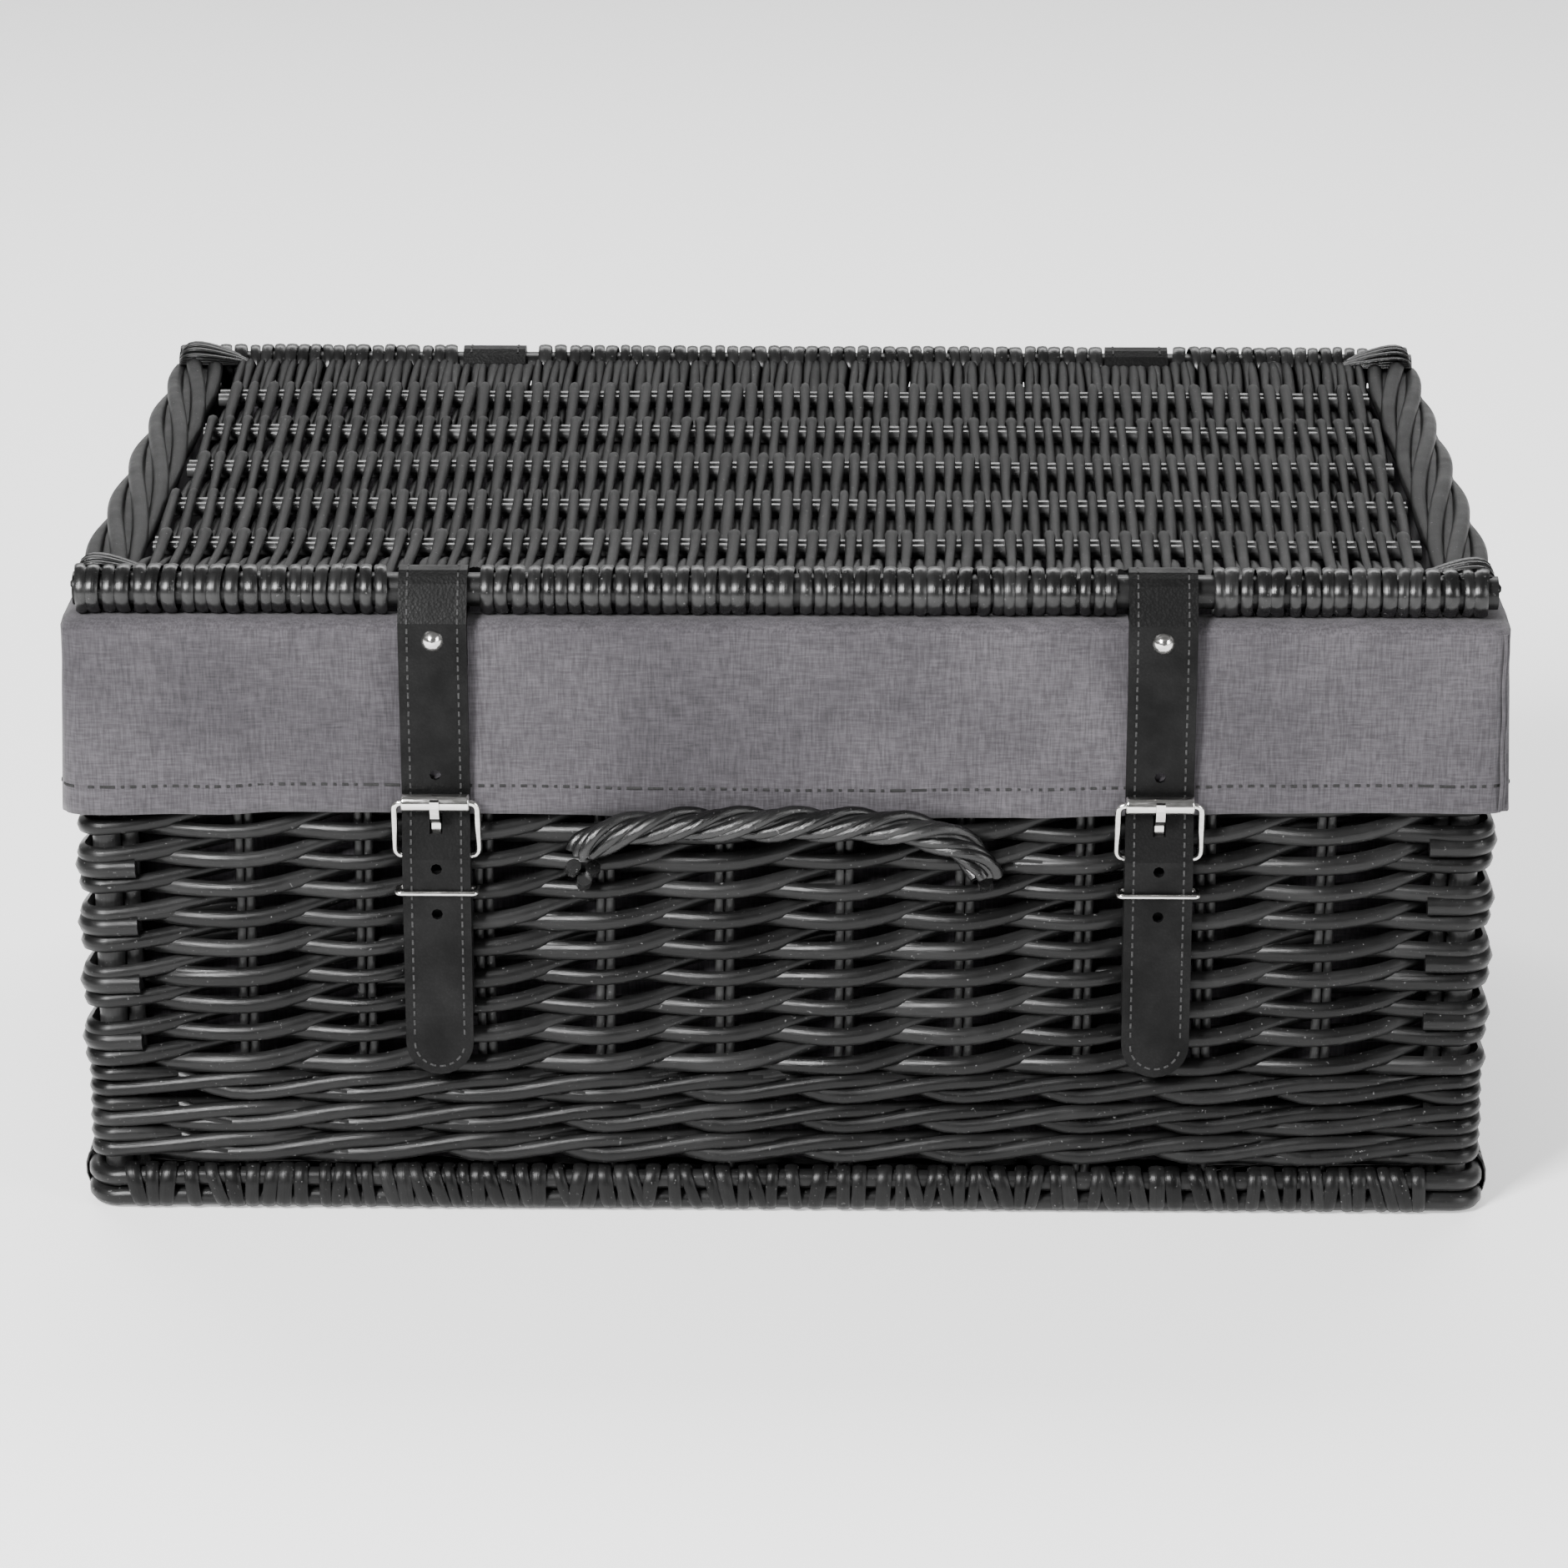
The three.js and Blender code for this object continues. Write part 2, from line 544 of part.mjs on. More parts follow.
// Four pieces of one kind round the basket, from the lengths along X and along Y.
function addRound(parent, prefix, make, inset, height, material) {
  const longLength = BASKET_WIDTH - 2 * (POST_DIAMETER + FIT);
  const shortLength = BASKET_DEPTH - 2 * (POST_DIAMETER + FIT);
  const long = make(longLength);
  const short = make(shortLength);
  add(parent, prefix + "_front", long, material, at(0, inset - halfDepth, height), 0);
  add(parent, prefix + "_back", long, material, at(0, halfDepth - inset, height), Math.PI);
  add(parent, prefix + "_left", short, material, at(inset - halfWidth, 0, height), -Math.PI / 2);
  add(parent, prefix + "_right", short, material, at(halfWidth - inset, 0, height), Math.PI / 2);
}

function basket() {
  const group = new THREE.Group();
  add(group, "base_panel", basePanel(), materials.willow);
  const footRadius = FOOT_DIAMETER / 2;
  const footRod = (length) => borderRod(FOOT_DIAMETER, length);
  addRound(group, "foot_border", footRod, footRadius, footRadius, materials.willow);
  addRound(group, "wall", wall, WALL_THICKNESS / 2, 0, materials.willow);
  const rimRadius = RIM_DIAMETER / 2;
  const rimRod = (length) => borderRod(RIM_DIAMETER, length);
  addRound(group, "rim", rimRod, rimRadius, RIM_HEIGHT - rimRadius, materials.willow);
  const postX = halfWidth - POST_DIAMETER / 2;
  const postY = halfDepth - POST_DIAMETER / 2;
  const post = rod(POST_DIAMETER, at(0, 0, 0), at(0, 0, RIM_HEIGHT));
  add(group, "corner_post_front_left", post, materials.willow, at(-postX, -postY, 0));
  add(group, "corner_post_front_right", post, materials.willow, at(postX, -postY, 0));
  add(group, "corner_post_back_left", post, materials.willow, at(-postX, postY, 0));
  add(group, "corner_post_back_right", post, materials.willow, at(postX, postY, 0));
  add(group, "liner", liner(), materials.cloth);
  return group;
}

function lid() {
  const group = new THREE.Group();
  group.position.z = lidHeight;
  const frontRod = lidRod(Object.values(STRAP_CENTRES), STRAP_WIDTH + 4 * FIT);
  const backRod = lidRod(Object.values(HINGE_CENTRES), HINGE_WIDTH + 4 * FIT);
  add(group, "lid_rod_front", frontRod, materials.willow, at(0, -lidRodOffset, 0));
  add(group, "lid_rod_back", backRod, materials.willow, at(0, lidRodOffset, 0));
  add(group, "lid_weave", lidWeave(), materials.willow);
  const braid = lidBraid();
  add(group, "lid_braid_left", braid, materials.willow, at(BRAID_WIDTH / 2 - lidHalfWidth, 0, 0));
  add(group, "lid_braid_right", braid, materials.willow, at(lidHalfWidth - BRAID_WIDTH / 2, 0, 0));
  const stake = rod(STAKE_DIAMETER, at(-weaveHalfWidth, 0, 0), at(weaveHalfWidth, 0, 0), WIRE_SIDES);
  stakePairs.forEach((pair, i) => {
    add(group, `lid_stake_${i + 1}_front`, stake, materials.peeledStakes, at(0, pair - STAKE_SPACING / 2, 0));
    add(group, `lid_stake_${i + 1}_back`, stake, materials.peeledStakes, at(0, pair + STAKE_SPACING / 2, 0));
  });
  const binding = cornerBinding();
  const bindingX = lidHalfWidth - BINDING_INSET;
  const bindingZ = wrappedDiameter / 2 + FIT;
  add(group, "corner_binding_front_left", binding, materials.willow, at(-bindingX, -lidRodOffset, bindingZ));
  add(group, "corner_binding_front_right", binding, materials.willow, at(bindingX, -lidRodOffset, bindingZ));
  add(group, "corner_binding_back_left", binding, materials.willow, at(-bindingX, lidRodOffset, bindingZ));
  add(group, "corner_binding_back_right", binding, materials.willow, at(bindingX, lidRodOffset, bindingZ));
  return group;
}

function hinges() {
  const group = new THREE.Group();
  const strapShape = hingeStrap();
  const rivetShape = rivet(STRAP_THICKNESS);
  for (const [side, x] of Object.entries(HINGE_CENTRES)) {
    add(group, "hinge_strap_" + side, strapShape, materials.leather, at(x, 0, 0));
    const seat = at(x, hingeFace + STRAP_THICKNESS / 2 + FIT, hingeRivetHeight);
    add(group, "hinge_rivet_" + side, rivetShape, materials.nickel, seat, Math.PI);
  }
  return group;
}

function closures() {
  const group = new THREE.Group();
  const pieces = {
    strap: [strap(), materials.leather],
    buckle_strap: [buckleStrap(), materials.leather],
    buckle_frame: [buckleFrame(), materials.nickel],
    roller: [roller(), materials.nickel],
    prong: [prong(), materials.nickel],
    keeper: [keeper(), materials.nickel],
  };
  const strapRivet = rivet(2 * STRAP_THICKNESS + FIT);
  const buckleRivet = rivet(2 * BUCKLE_LEATHER + FIT);
  for (const [side, x] of Object.entries(STRAP_CENTRES)) {
    for (const [name, [geometry, material]] of Object.entries(pieces)) {
      add(group, name + "_" + side, geometry, material, at(x, 0, 0));
    }
    const strapSeat = at(x, strapFrontY - STRAP_THICKNESS / 2 - FIT, strapRivetHeight);
    const buckleSeat = at(x, foldEndY - BUCKLE_LEATHER / 2 - FIT, buckleRivetHeight);
    add(group, "strap_rivet_" + side, strapRivet, materials.nickel, strapSeat);
    add(group, "buckle_rivet_" + side, buckleRivet, materials.nickel, buckleSeat);
  }
  return group;
}

const group = new THREE.Group();
group.add(basket(), lid(), hinges(), closures());
add(group, "front_handle", frontHandle(), materials.willow, at(0, handleAxisY, handleAxisHeight));

export default group;
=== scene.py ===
import json
import math
import random

import bpy
import numpy as np
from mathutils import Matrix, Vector
from mathutils.bvhtree import BVHTree


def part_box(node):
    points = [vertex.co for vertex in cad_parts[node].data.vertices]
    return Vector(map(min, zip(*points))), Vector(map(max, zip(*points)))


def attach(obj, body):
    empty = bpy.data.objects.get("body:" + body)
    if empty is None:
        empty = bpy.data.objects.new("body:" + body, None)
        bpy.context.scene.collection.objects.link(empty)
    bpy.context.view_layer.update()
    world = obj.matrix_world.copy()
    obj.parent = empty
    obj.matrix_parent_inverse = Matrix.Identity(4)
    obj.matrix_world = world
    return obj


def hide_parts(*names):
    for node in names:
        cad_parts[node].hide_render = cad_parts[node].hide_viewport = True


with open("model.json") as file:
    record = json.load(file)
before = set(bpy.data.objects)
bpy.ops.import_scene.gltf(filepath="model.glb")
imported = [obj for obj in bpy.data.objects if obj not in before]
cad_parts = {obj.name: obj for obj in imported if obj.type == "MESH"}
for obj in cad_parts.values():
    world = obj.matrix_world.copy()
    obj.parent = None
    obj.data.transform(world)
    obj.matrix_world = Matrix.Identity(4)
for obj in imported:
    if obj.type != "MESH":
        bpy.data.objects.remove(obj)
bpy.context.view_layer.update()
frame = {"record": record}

rng = random.Random(7)
MM = 0.001

# ---- places that the frame gives


def middle(node):
    """The middle of a CAD node's box."""
    low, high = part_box(node)
    return [(a + b) / 2 for a, b in zip(low, high)]


joint_at = {joint["name"]: joint.get("pos_m") for joint in frame["record"]["behaviour"]["joints"]}
SIDES = ("left", "right")
WALLS = ("front", "back", "left", "right")
CORNERS = ("front_left", "front_right", "back_left", "back_right")
HALF_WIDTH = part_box("wall_right")[1][0]
HALF_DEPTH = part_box("wall_back")[1][1]
RIM_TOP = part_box("rim_front")[1][2]
LINER_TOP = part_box("liner")[1][2]
VALANCE_ABOVE_HEEL = 13.8 * MM
VALANCE_BOTTOM = joint_at["buckle_left_tilt"][2] + VALANCE_ABOVE_HEEL
LID_HALF_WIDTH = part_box("lid_rod_front")[1][0]
LID_Z = joint_at["lid_hinge"][2]
LID_ROD_Y = joint_at["lid_hinge"][1]
STRAP_X = {side: middle("strap_" + side)[0] for side in SIDES}
HINGE_X = {side: middle("hinge_strap_" + side)[0] for side in SIDES}
HEEL = joint_at["buckle_left_tilt"][1:]
ROLLER = joint_at["roller_left_spin"][1:]
KEEPER_Z = middle("keeper_left")[2]

# ---- camera

CAMERA_PLACE = (22 * MM, -1838.6 * MM, 710.4 * MM)
CAMERA_PITCH_DEG = 18.4
CAMERA_YAW_DEG = 0.75
CAMERA_LENS_MM = 126.36
CAMERA_SENSOR_MM = 36

camera_data = bpy.data.cameras.new("camera")
camera_data.lens = CAMERA_LENS_MM
camera_data.sensor_width = CAMERA_SENSOR_MM
camera = bpy.data.objects.new("camera", camera_data)
camera.location = CAMERA_PLACE
camera.rotation_euler = (math.radians(90 - CAMERA_PITCH_DEG), 0, math.radians(CAMERA_YAW_DEG))
bpy.context.collection.objects.link(camera)
bpy.context.scene.camera = camera

# ---- materials


def new_material(name, roughness, specular=0.5, metallic=0.0):
    """A new material, its node tree and its shader."""
    material = bpy.data.materials.new(name)
    material.use_nodes = True
    shader = material.node_tree.nodes["Principled BSDF"]
    shader.inputs["Roughness"].default_value = roughness
    shader.inputs["Specular IOR Level"].default_value = specular
    shader.inputs["Metallic"].default_value = metallic
    return material, material.node_tree, shader


def add_node(tree, kind, **inputs):
    """A new node with values on its inputs."""
    node = tree.nodes.new(kind)
    for name, value in inputs.items():
        node.inputs[name.replace("_", " ")].default_value = value
    return node


def coordinates(tree):
    """The place on the piece, in metres."""
    return tree.nodes.new("ShaderNodeTexCoord").outputs["Object"]


def stretched(tree, source, scale):
    """A texture's coordinates, stretched along each axis."""
    mapping = add_node(tree, "ShaderNodeMapping", Scale=scale)
    tree.links.new(source, mapping.inputs["Vector"])
    return mapping.outputs["Vector"]


def noise(tree, vector, scale, detail=4.0, roughness=0.6):
    """Soft random values, with scale features in each metre."""
    node = add_node(tree, "ShaderNodeTexNoise", Scale=scale, Detail=detail, Roughness=roughness)
    tree.links.new(vector, node.inputs["Vector"])
    return node.outputs["Fac"]


def ramp(tree, value, stops):
    """stops: (place, grey) or (place, colour), from low to high."""
    node = tree.nodes.new("ShaderNodeValToRGB")
    elements = node.color_ramp.elements
    while len(elements) < len(stops):
        elements.new(0.5)
    for element, (place, colour) in zip(elements, stops):
        element.position = place
        element.color = (*colour, 1) if isinstance(colour, tuple) else (colour, colour, colour, 1)
    tree.links.new(value, node.inputs["Fac"])
    return node.outputs["Color"]


def mix(tree, factor, first, second, blend="MIX"):
    """Two values or outputs blended."""
    node = tree.nodes.new("ShaderNodeMix")
    node.data_type = "RGBA"
    node.blend_type = blend
    for value, socket in ((factor, node.inputs[0]), (first, node.inputs[6]), (second, node.inputs[7])):
        if isinstance(value, bpy.types.NodeSocket):
            tree.links.new(value, socket)
        else:
            socket.default_value = value
    return node.outputs[2]


def feed(tree, shader, **outputs):
    """Links outputs to the shader's inputs of the same names."""
    for name, output in outputs.items():
        tree.links.new(output, shader.inputs[name.replace("_", " ")])


def bump(tree, shader, height, depth_mm, strength=1.0):
    """Relief as deep as depth_mm where height is 1."""
    node = add_node(tree, "ShaderNodeBump", Distance=depth_mm * MM, Strength=strength)
    tree.links.new(height, node.inputs["Height"])
    feed(tree, shader, Normal=node.outputs["Normal"])


WILLOW_GLOSS = 0.26
GRAIN_STRETCH = (40, 9, 1)  # along a rod and round it
PATCHES_PER_M = 55.0
SPECKS_PER_M = 900.0
THREADS_PER_M = 1700.0
SLUBS_PER_M = 260.0
PEBBLES_PER_M = 1100.0
LEATHER_GLOSS = 0.11


def willow(name, dark, light, roughness, gloss_range=0.15, bump_mm=0.12, gloss=WILLOW_GLOSS):
    """Stained willow: grain along the rod, a tint for each rod, worn lighter patches and dust."""
    material, tree, shader = new_material(name, roughness, gloss)
    along = tree.nodes.new("ShaderNodeUVMap").outputs["UV"]
    grain = noise(tree, stretched(tree, along, GRAIN_STRETCH), 3.0, detail=5.0)
    patches = noise(tree, coordinates(tree), PATCHES_PER_M, detail=3.0)
    specks = noise(tree, coordinates(tree), SPECKS_PER_M, detail=2.0)
    tint = tree.nodes.new("ShaderNodeAttribute")
    tint.attribute_name = "rod_tint"
    by_rod = ramp(tree, tint.outputs["Fac"], [(0.0, dark), (1.0, light)])
    by_grain = ramp(tree, grain, [(0.3, 0.55), (0.7, 1.0)])
    worn = ramp(tree, patches, [(0.45, 0.85), (0.75, 1.5)])
    dust = ramp(tree, specks, [(0.68, 0.0), (0.76, 0.10)])
    colour = mix(tree, 1.0, mix(tree, 1.0, by_rod, by_grain, "MULTIPLY"), worn, "MULTIPLY")
    low, high = roughness - gloss_range / 2, roughness + gloss_range / 2
    gloss = ramp(tree, patches, [(0.3, low), (0.7, high)])
    feed(tree, shader, Base_Color=mix(tree, 1.0, colour, dust, "ADD"), Roughness=gloss)
    bump(tree, shader, grain, bump_mm, strength=0.8)
    return material


def cloth_material():
    """Plain-woven cotton: threads both ways, slight slubs and a soft sheen."""
    material, tree, shader = new_material("liner_cloth", roughness=0.95, specular=0.2)
    place = coordinates(tree)
    warp = noise(tree, stretched(tree, place, (1, 1, 0.1)), THREADS_PER_M, detail=2.0, roughness=0.5)
    weft = noise(tree, stretched(tree, place, (0.1, 0.1, 1)), THREADS_PER_M, detail=2.0, roughness=0.5)
    threads = mix(tree, 0.4, warp, weft)
    slub = noise(tree, stretched(tree, place, (1, 1, 6)), SLUBS_PER_M, detail=3.0)
    soft = noise(tree, place, 14.0, detail=3.0)
    base = ramp(tree, soft, [(0.3, (0.044, 0.041, 0.046)), (0.7, (0.074, 0.069, 0.076))])
    shade = ramp(tree, threads, [(0.36, 0.66), (0.64, 1.24)])
    slubs = ramp(tree, slub, [(0.35, 0.87), (0.65, 1.10)])
    colour = mix(tree, 1.0, mix(tree, 1.0, base, shade, "MULTIPLY"), slubs, "MULTIPLY")
    feed(tree, shader, Base_Color=colour)
    shader.inputs["Sheen Weight"].default_value = 0.15
    shader.inputs["Sheen Roughness"].default_value = 0.5
    bump(tree, shader, threads, 0.12, strength=0.7)
    return material


def leather_material(name, colour_low, colour_high, roughness):
    """Grained leather with pebbling, fine creases and rubbed lighter patches."""
    material, tree, shader = new_material(name, roughness, LEATHER_GLOSS)
    place = coordinates(tree)
    pebble = add_node(tree, "ShaderNodeTexVoronoi", Scale=PEBBLES_PER_M)
    tree.links.new(place, pebble.inputs["Vector"])
    crease = noise(tree, place, 420.0, detail=5.0, roughness=0.65)
    rubbed = noise(tree, place, 60.0, detail=3.0)
    base = ramp(tree, rubbed, [(0.35, colour_low), (0.75, colour_high)])
    cells = ramp(tree, pebble.outputs["Distance"], [(0.0, 1.15), (0.6, 0.75)])
    gloss = ramp(tree, rubbed, [(0.3, roughness + 0.08), (0.7, roughness - 0.1)])
    feed(tree, shader, Base_Color=mix(tree, 1.0, base, cells, "MULTIPLY"), Roughness=gloss)
    height = mix(tree, 0.5, pebble.outputs["Distance"], crease)
    bump(tree, shader, height, 0.16, strength=0.8)
    return material


def metal_material():
    """Bright nickel with faint rubbing marks."""
    material, tree, shader = new_material("nickel", roughness=0.16, metallic=1.0)
    marks = noise(tree, stretched(tree, coordinates(tree), (1, 6, 6)), 220.0)
    colour = ramp(tree, marks, [(0.3, (0.62, 0.61, 0.59)), (0.7, (0.82, 0.81, 0.79))])
    feed(tree, shader, Base_Color=colour, Roughness=ramp(tree, marks, [(0.3, 0.10), (0.75, 0.26)]))
    bump(tree, shader, marks, 0.02, strength=0.5)
    return material


def thread_material(name, low, high):
    """Twisted thread, from its darkest to its lightest grey."""
    material, tree, shader = new_material(name, roughness=0.8, specular=0.3)
    twist = noise(tree, coordinates(tree), 1500.0, detail=2.0)
    feed(tree, shader, Base_Color=ramp(tree, twist, [(0.3, low), (0.7, high)]))
    bump(tree, shader, twist, 0.05)
    return material


WALL_WILLOW = willow("wall_willow", 0.002, 0.013, 0.34)
LID_WILLOW = willow("lid_willow", 0.001, 0.010, 0.42, gloss=0.10)
STAKE_WILLOW = willow("stake_willow", 0.016, 0.040, 0.32)
WRAP_WILLOW = willow("wrap_willow", 0.003, 0.012, 0.29, gloss_range=0.12, gloss=0.5)
LID_STAKE_WILLOW = willow("lid_stake_willow", 0.030, 0.070, 0.24, gloss=0.8)
BRAID_WILLOW = willow("braid_willow", 0.003, 0.011, 0.42, gloss=0.09)
FOOT_WILLOW = willow("foot_willow", 0.003, 0.012, 0.32, gloss_range=0.12, gloss=0.2)
HANDLE_WILLOW = willow("handle_willow", 0.004, 0.016, 0.26, gloss_range=0.12, bump_mm=0.2, gloss=0.5)
CLOTH = cloth_material()
LEATHER = leather_material("leather", 0.0025, 0.009, 0.46)
METAL = metal_material()
LEATHER_THREAD = thread_material("leather_thread", 0.012, 0.045)
CLOTH_THREAD = thread_material("cloth_thread", 0.008, 0.02)

# ---- mesh making


TINY = 1e-12


def lengths_along(path):
    """How far along a path each of its points is."""
    return np.concatenate([[0], np.cumsum(np.linalg.norm(np.diff(path, axis=0), axis=1))])


class Rods:
    """Many swept rods gathered into one mesh, each with its own tint and a UV map along and round it."""

    def __init__(self):
        self.points, self.faces, self.uvs, self.tints, self.count = [], [], [], [], 0

    def add(self, path, across, deep, up, sides=8, closed=False, tint=None):
        """across is half the size along up, deep half of it sideways: one number, or one for each point."""
        path = np.asarray(path, float)
        steps = len(path)
        if closed:
            along = np.roll(path, -1, 0) - np.roll(path, 1, 0)
        else:
            along = np.gradient(path, axis=0)
        along /= np.linalg.norm(along, axis=1)[:, None] + TINY
        up = np.broadcast_to(np.asarray(up, float), path.shape)
        rise = up - (up * along).sum(1)[:, None] * along
        rise /= np.linalg.norm(rise, axis=1)[:, None] + TINY
        side = np.cross(along, rise)
        angles = np.arange(sides) * 2 * math.pi / sides
        section = np.stack([np.cos(angles), np.sin(angles)], 1)
        high = np.broadcast_to(np.asarray(across, float), (steps,))[:, None, None]
        wide = np.broadcast_to(np.asarray(deep, float), (steps,))[:, None, None]
        ring = path[:, None] + rise[:, None] * high * section[None, :, :1]
        ring = ring + side[:, None] * wide * section[None, :, 1:]
        first = self.count
        self.points.append(ring.reshape(-1, 3))
        offset = rng.random()
        ends = np.concatenate([path, path[:1]]) if closed else path
        lengths = lengths_along(ends) + offset
        for i in range(len(ends) - 1):
            here, ahead = first + i * sides, first + (i + 1) % steps * sides
            u0, u1 = lengths[i], lengths[i + 1]
            for k in range(sides):
                m = (k + 1) % sides
                self.faces.append((here + k, here + m, ahead + m, ahead + k))
                v0, v1 = k / sides + offset, (k + 1) / sides + offset
                self.uvs.extend(((u0, v0), (u0, v1), (u1, v1), (u1, v0)))
        if not closed:
            self.faces.append(tuple(first + k for k in reversed(range(sides))))
            self.faces.append(tuple(first + (steps - 1) * sides + k for k in range(sides)))
            self.uvs.extend([(offset, offset)] * (2 * sides))
        self.tints.append(np.full(steps * sides, rng.random() if tint is None else tint))
        self.count += steps * sides

    def make(self, name, material, body, slot_name, replaced=()):
        mesh = bpy.data.meshes.new(name)
        mesh.from_pydata(np.concatenate(self.points).tolist(), [], self.faces)
        layer = mesh.uv_layers.new(name="along")
        layer.data.foreach_set("uv", np.array(self.uvs, np.float32).ravel())
        tint = mesh.attributes.new("rod_tint", "FLOAT", "POINT")
        tint.data.foreach_set("value", np.concatenate(self.tints).astype(np.float32))
        return finish_mesh(mesh, name, material, body, replaced)


CUT_ANGLE = math.radians(50)  # cut ends stay crisp where the rest is shaded smooth


def finish_mesh(mesh, name, material, body, replaced=()):
    """The mesh as a named piece that rides a body and stands for CAD pieces."""
    mesh.validate()
    mesh.shade_smooth()
    mesh.set_sharp_from_angle(angle=CUT_ANGLE)
    mesh.materials.append(material)
    piece = bpy.data.objects.new(name, mesh)
    bpy.context.collection.objects.link(piece)
    if replaced:
        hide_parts(*replaced)
    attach(piece, body)
    return piece


def curve_through(points, tangents, stretch=1.0, steps=8):
    """Points along cubic curves that pass through the given points in the given directions."""
    points, tangents = np.asarray(points, float), np.asarray(tangents, float)
    t = (np.arange(steps) / steps)[:, None]
    stretch = np.broadcast_to(np.asarray(stretch, float), (len(points) - 1,))
    parts = []
    for i in range(len(points) - 1):
        reach = np.linalg.norm(points[i + 1] - points[i]) * stretch[i]
        a, b = points[i], points[i + 1]
        u, v = tangents[i] * reach, tangents[i + 1] * reach
        from_a, along_u = 2 * t**3 - 3 * t**2 + 1, t**3 - 2 * t**2 + t
        to_b, along_v = -2 * t**3 + 3 * t**2, t**3 - t**2
        parts.append(from_a * a + along_u * u + to_b * b + along_v * v)
    return np.concatenate([*parts, points[-1:]])


def rounded_rectangle(half_x, half_y, radius, side_x, side_y, corner):
    """Points and outward normals round a rounded rectangle, from the front left corner along the front."""
    points, normals = [], []
    sides = (
        ((radius - half_x, -half_y), (half_x - radius, -half_y), side_x, (0, -1)),
        ((half_x, radius - half_y), (half_x, half_y - radius), side_y, (1, 0)),
        ((half_x - radius, half_y), (radius - half_x, half_y), side_x, (0, 1)),
        ((-half_x, half_y - radius), (-half_x, radius - half_y), side_y, (-1, 0)),
    )
    for start, end, count, normal in sides:
        for i in range(count):
            t = i / count
            points.append([a + (b - a) * t for a, b in zip(start, end)])
            normals.append(normal)
        turn = math.atan2(normal[1], normal[0])
        centre = [e - radius * n for e, n in zip(end, normal)]
        for i in range(corner):
            angle = turn + math.pi / 2 * i / corner
            points.append([centre[0] + radius * math.cos(angle), centre[1] + radius * math.sin(angle)])
            normals.append((math.cos(angle), math.sin(angle)))
    return np.array(points), np.array(normals)


UP = (0, 0, 1)

# ---- basket body

STAKE_PITCH = 39.1 * MM
LONG_STAKES = 10
SHORT_STAKES = 6
PLANE_INSET = 5.4 * MM  # from a wall's outside to the middle of its stakes
STAKE_ROD = 1.6 * MM
STAKE_LEAN = STAKE_ROD * 1.02  # from the middle of a pair to one of its rods
STAKE_WOBBLE_MM = 0.4
ROD = 3.15 * MM
ROD_FLATNESS = 0.82
ROD_OFFSET = 3.6 * MM  # from the stakes' middle to a woven rod's middle
POST_INSET = 4.6 * MM
POST_RADIUS = 4.8 * MM
POST_PARTNER = 2.9 * MM  # a thinner rod on each side of a corner post
POST_PARTNER_STEP = 7.6 * MM
ROW = 10 * MM  # between rods that pass in front of one stake
BEHIND_RISE = 3 * MM
BUTT_SHARE = 1.08  # a rod's thick end, as a share of its radius
HEIGHT_JITTER_MM = 0.5
FRONT_SLOPE = 0.05
BEHIND_SLOPE = 0.22
LEAD_DROP = 3.5 * MM  # how much lower a rod starts, and higher it ends, behind its last stakes
LEAD_SLOPE = 0.15
RANDING_JOINS = ((5, 6), (14, 6), (23, 3))  # the first step where a rod may be joined on, and how many may be
WALE_BOTTOM = 17 * MM
WALE_ROWS = 3
WALE_PITCH = 10.6 * MM
WALE_ROD = 2.7 * MM
RANDING_BOTTOM = WALE_BOTTOM + WALE_ROWS * WALE_PITCH + ROD
RANDING_TOP = RIM_TOP - 7 * MM
POST_BOTTOM = 3 * MM
STAKE_BOTTOM = 10 * MM
STAKE_TOP = RIM_TOP - 3 * MM
plane_x, plane_y = HALF_WIDTH - PLANE_INSET, HALF_DEPTH - PLANE_INSET
post_x, post_y = plane_x - POST_INSET, plane_y - POST_INSET


def supports():
    """Stakes and corner posts round the basket: (point, outward normal, direction of weaving, is a post)."""
    rows = (
        (LONG_STAKES, (1, 0), (0, -1), (-post_x, -post_y)),
        (SHORT_STAKES, (0, 1), (1, 0), (post_x, -post_y)),
        (LONG_STAKES, (-1, 0), (0, 1), (post_x, post_y)),
        (SHORT_STAKES, (0, -1), (-1, 0), (-post_x, post_y)),
    )
    found = []
    for count, along, out, post in rows:
        along, out = np.array(along, float), np.array(out, float)
        found.append((np.array(post), out, along, True))
        for i in range(count):
            place = (i - (count - 1) / 2) * STAKE_PITCH
            point = along * place + out * (plane_y if out[0] == 0 else plane_x)
            found.append((point, out, along, False))
    return found


SUPPORTS = supports()


def crossing(index, outside, z, slope, rod=ROD):
    """Where a woven rod passes one support: its points and its directions there."""
    point, out, along, is_post = SUPPORTS[index % len(SUPPORTS)]
    previous = SUPPORTS[index % len(SUPPORTS) - 1]
    if not is_post:
        offset = ROD_OFFSET if outside else -ROD_OFFSET
        return [(*(point + out * offset), z)], [(*along, slope)]
    before_out, before_along = previous[1], previous[2]
    reach = POST_RADIUS + rod * ROD_FLATNESS
    if outside:
        middle_way = (before_out + out) / math.sqrt(2)
        middle_along = (before_along + along) / math.sqrt(2)
        places = (point + before_out * reach, point + middle_way * reach, point + out * reach)
        turns = (before_along, middle_along, along)
        return [(*p, z + i * slope * reach) for i, p in enumerate(places)], [(*t, slope) for t in turns]
    diagonal = (before_out + out) / math.sqrt(2)
    return [(*(point - diagonal * reach), z)], [(*((before_along + along) / math.sqrt(2)), slope)]


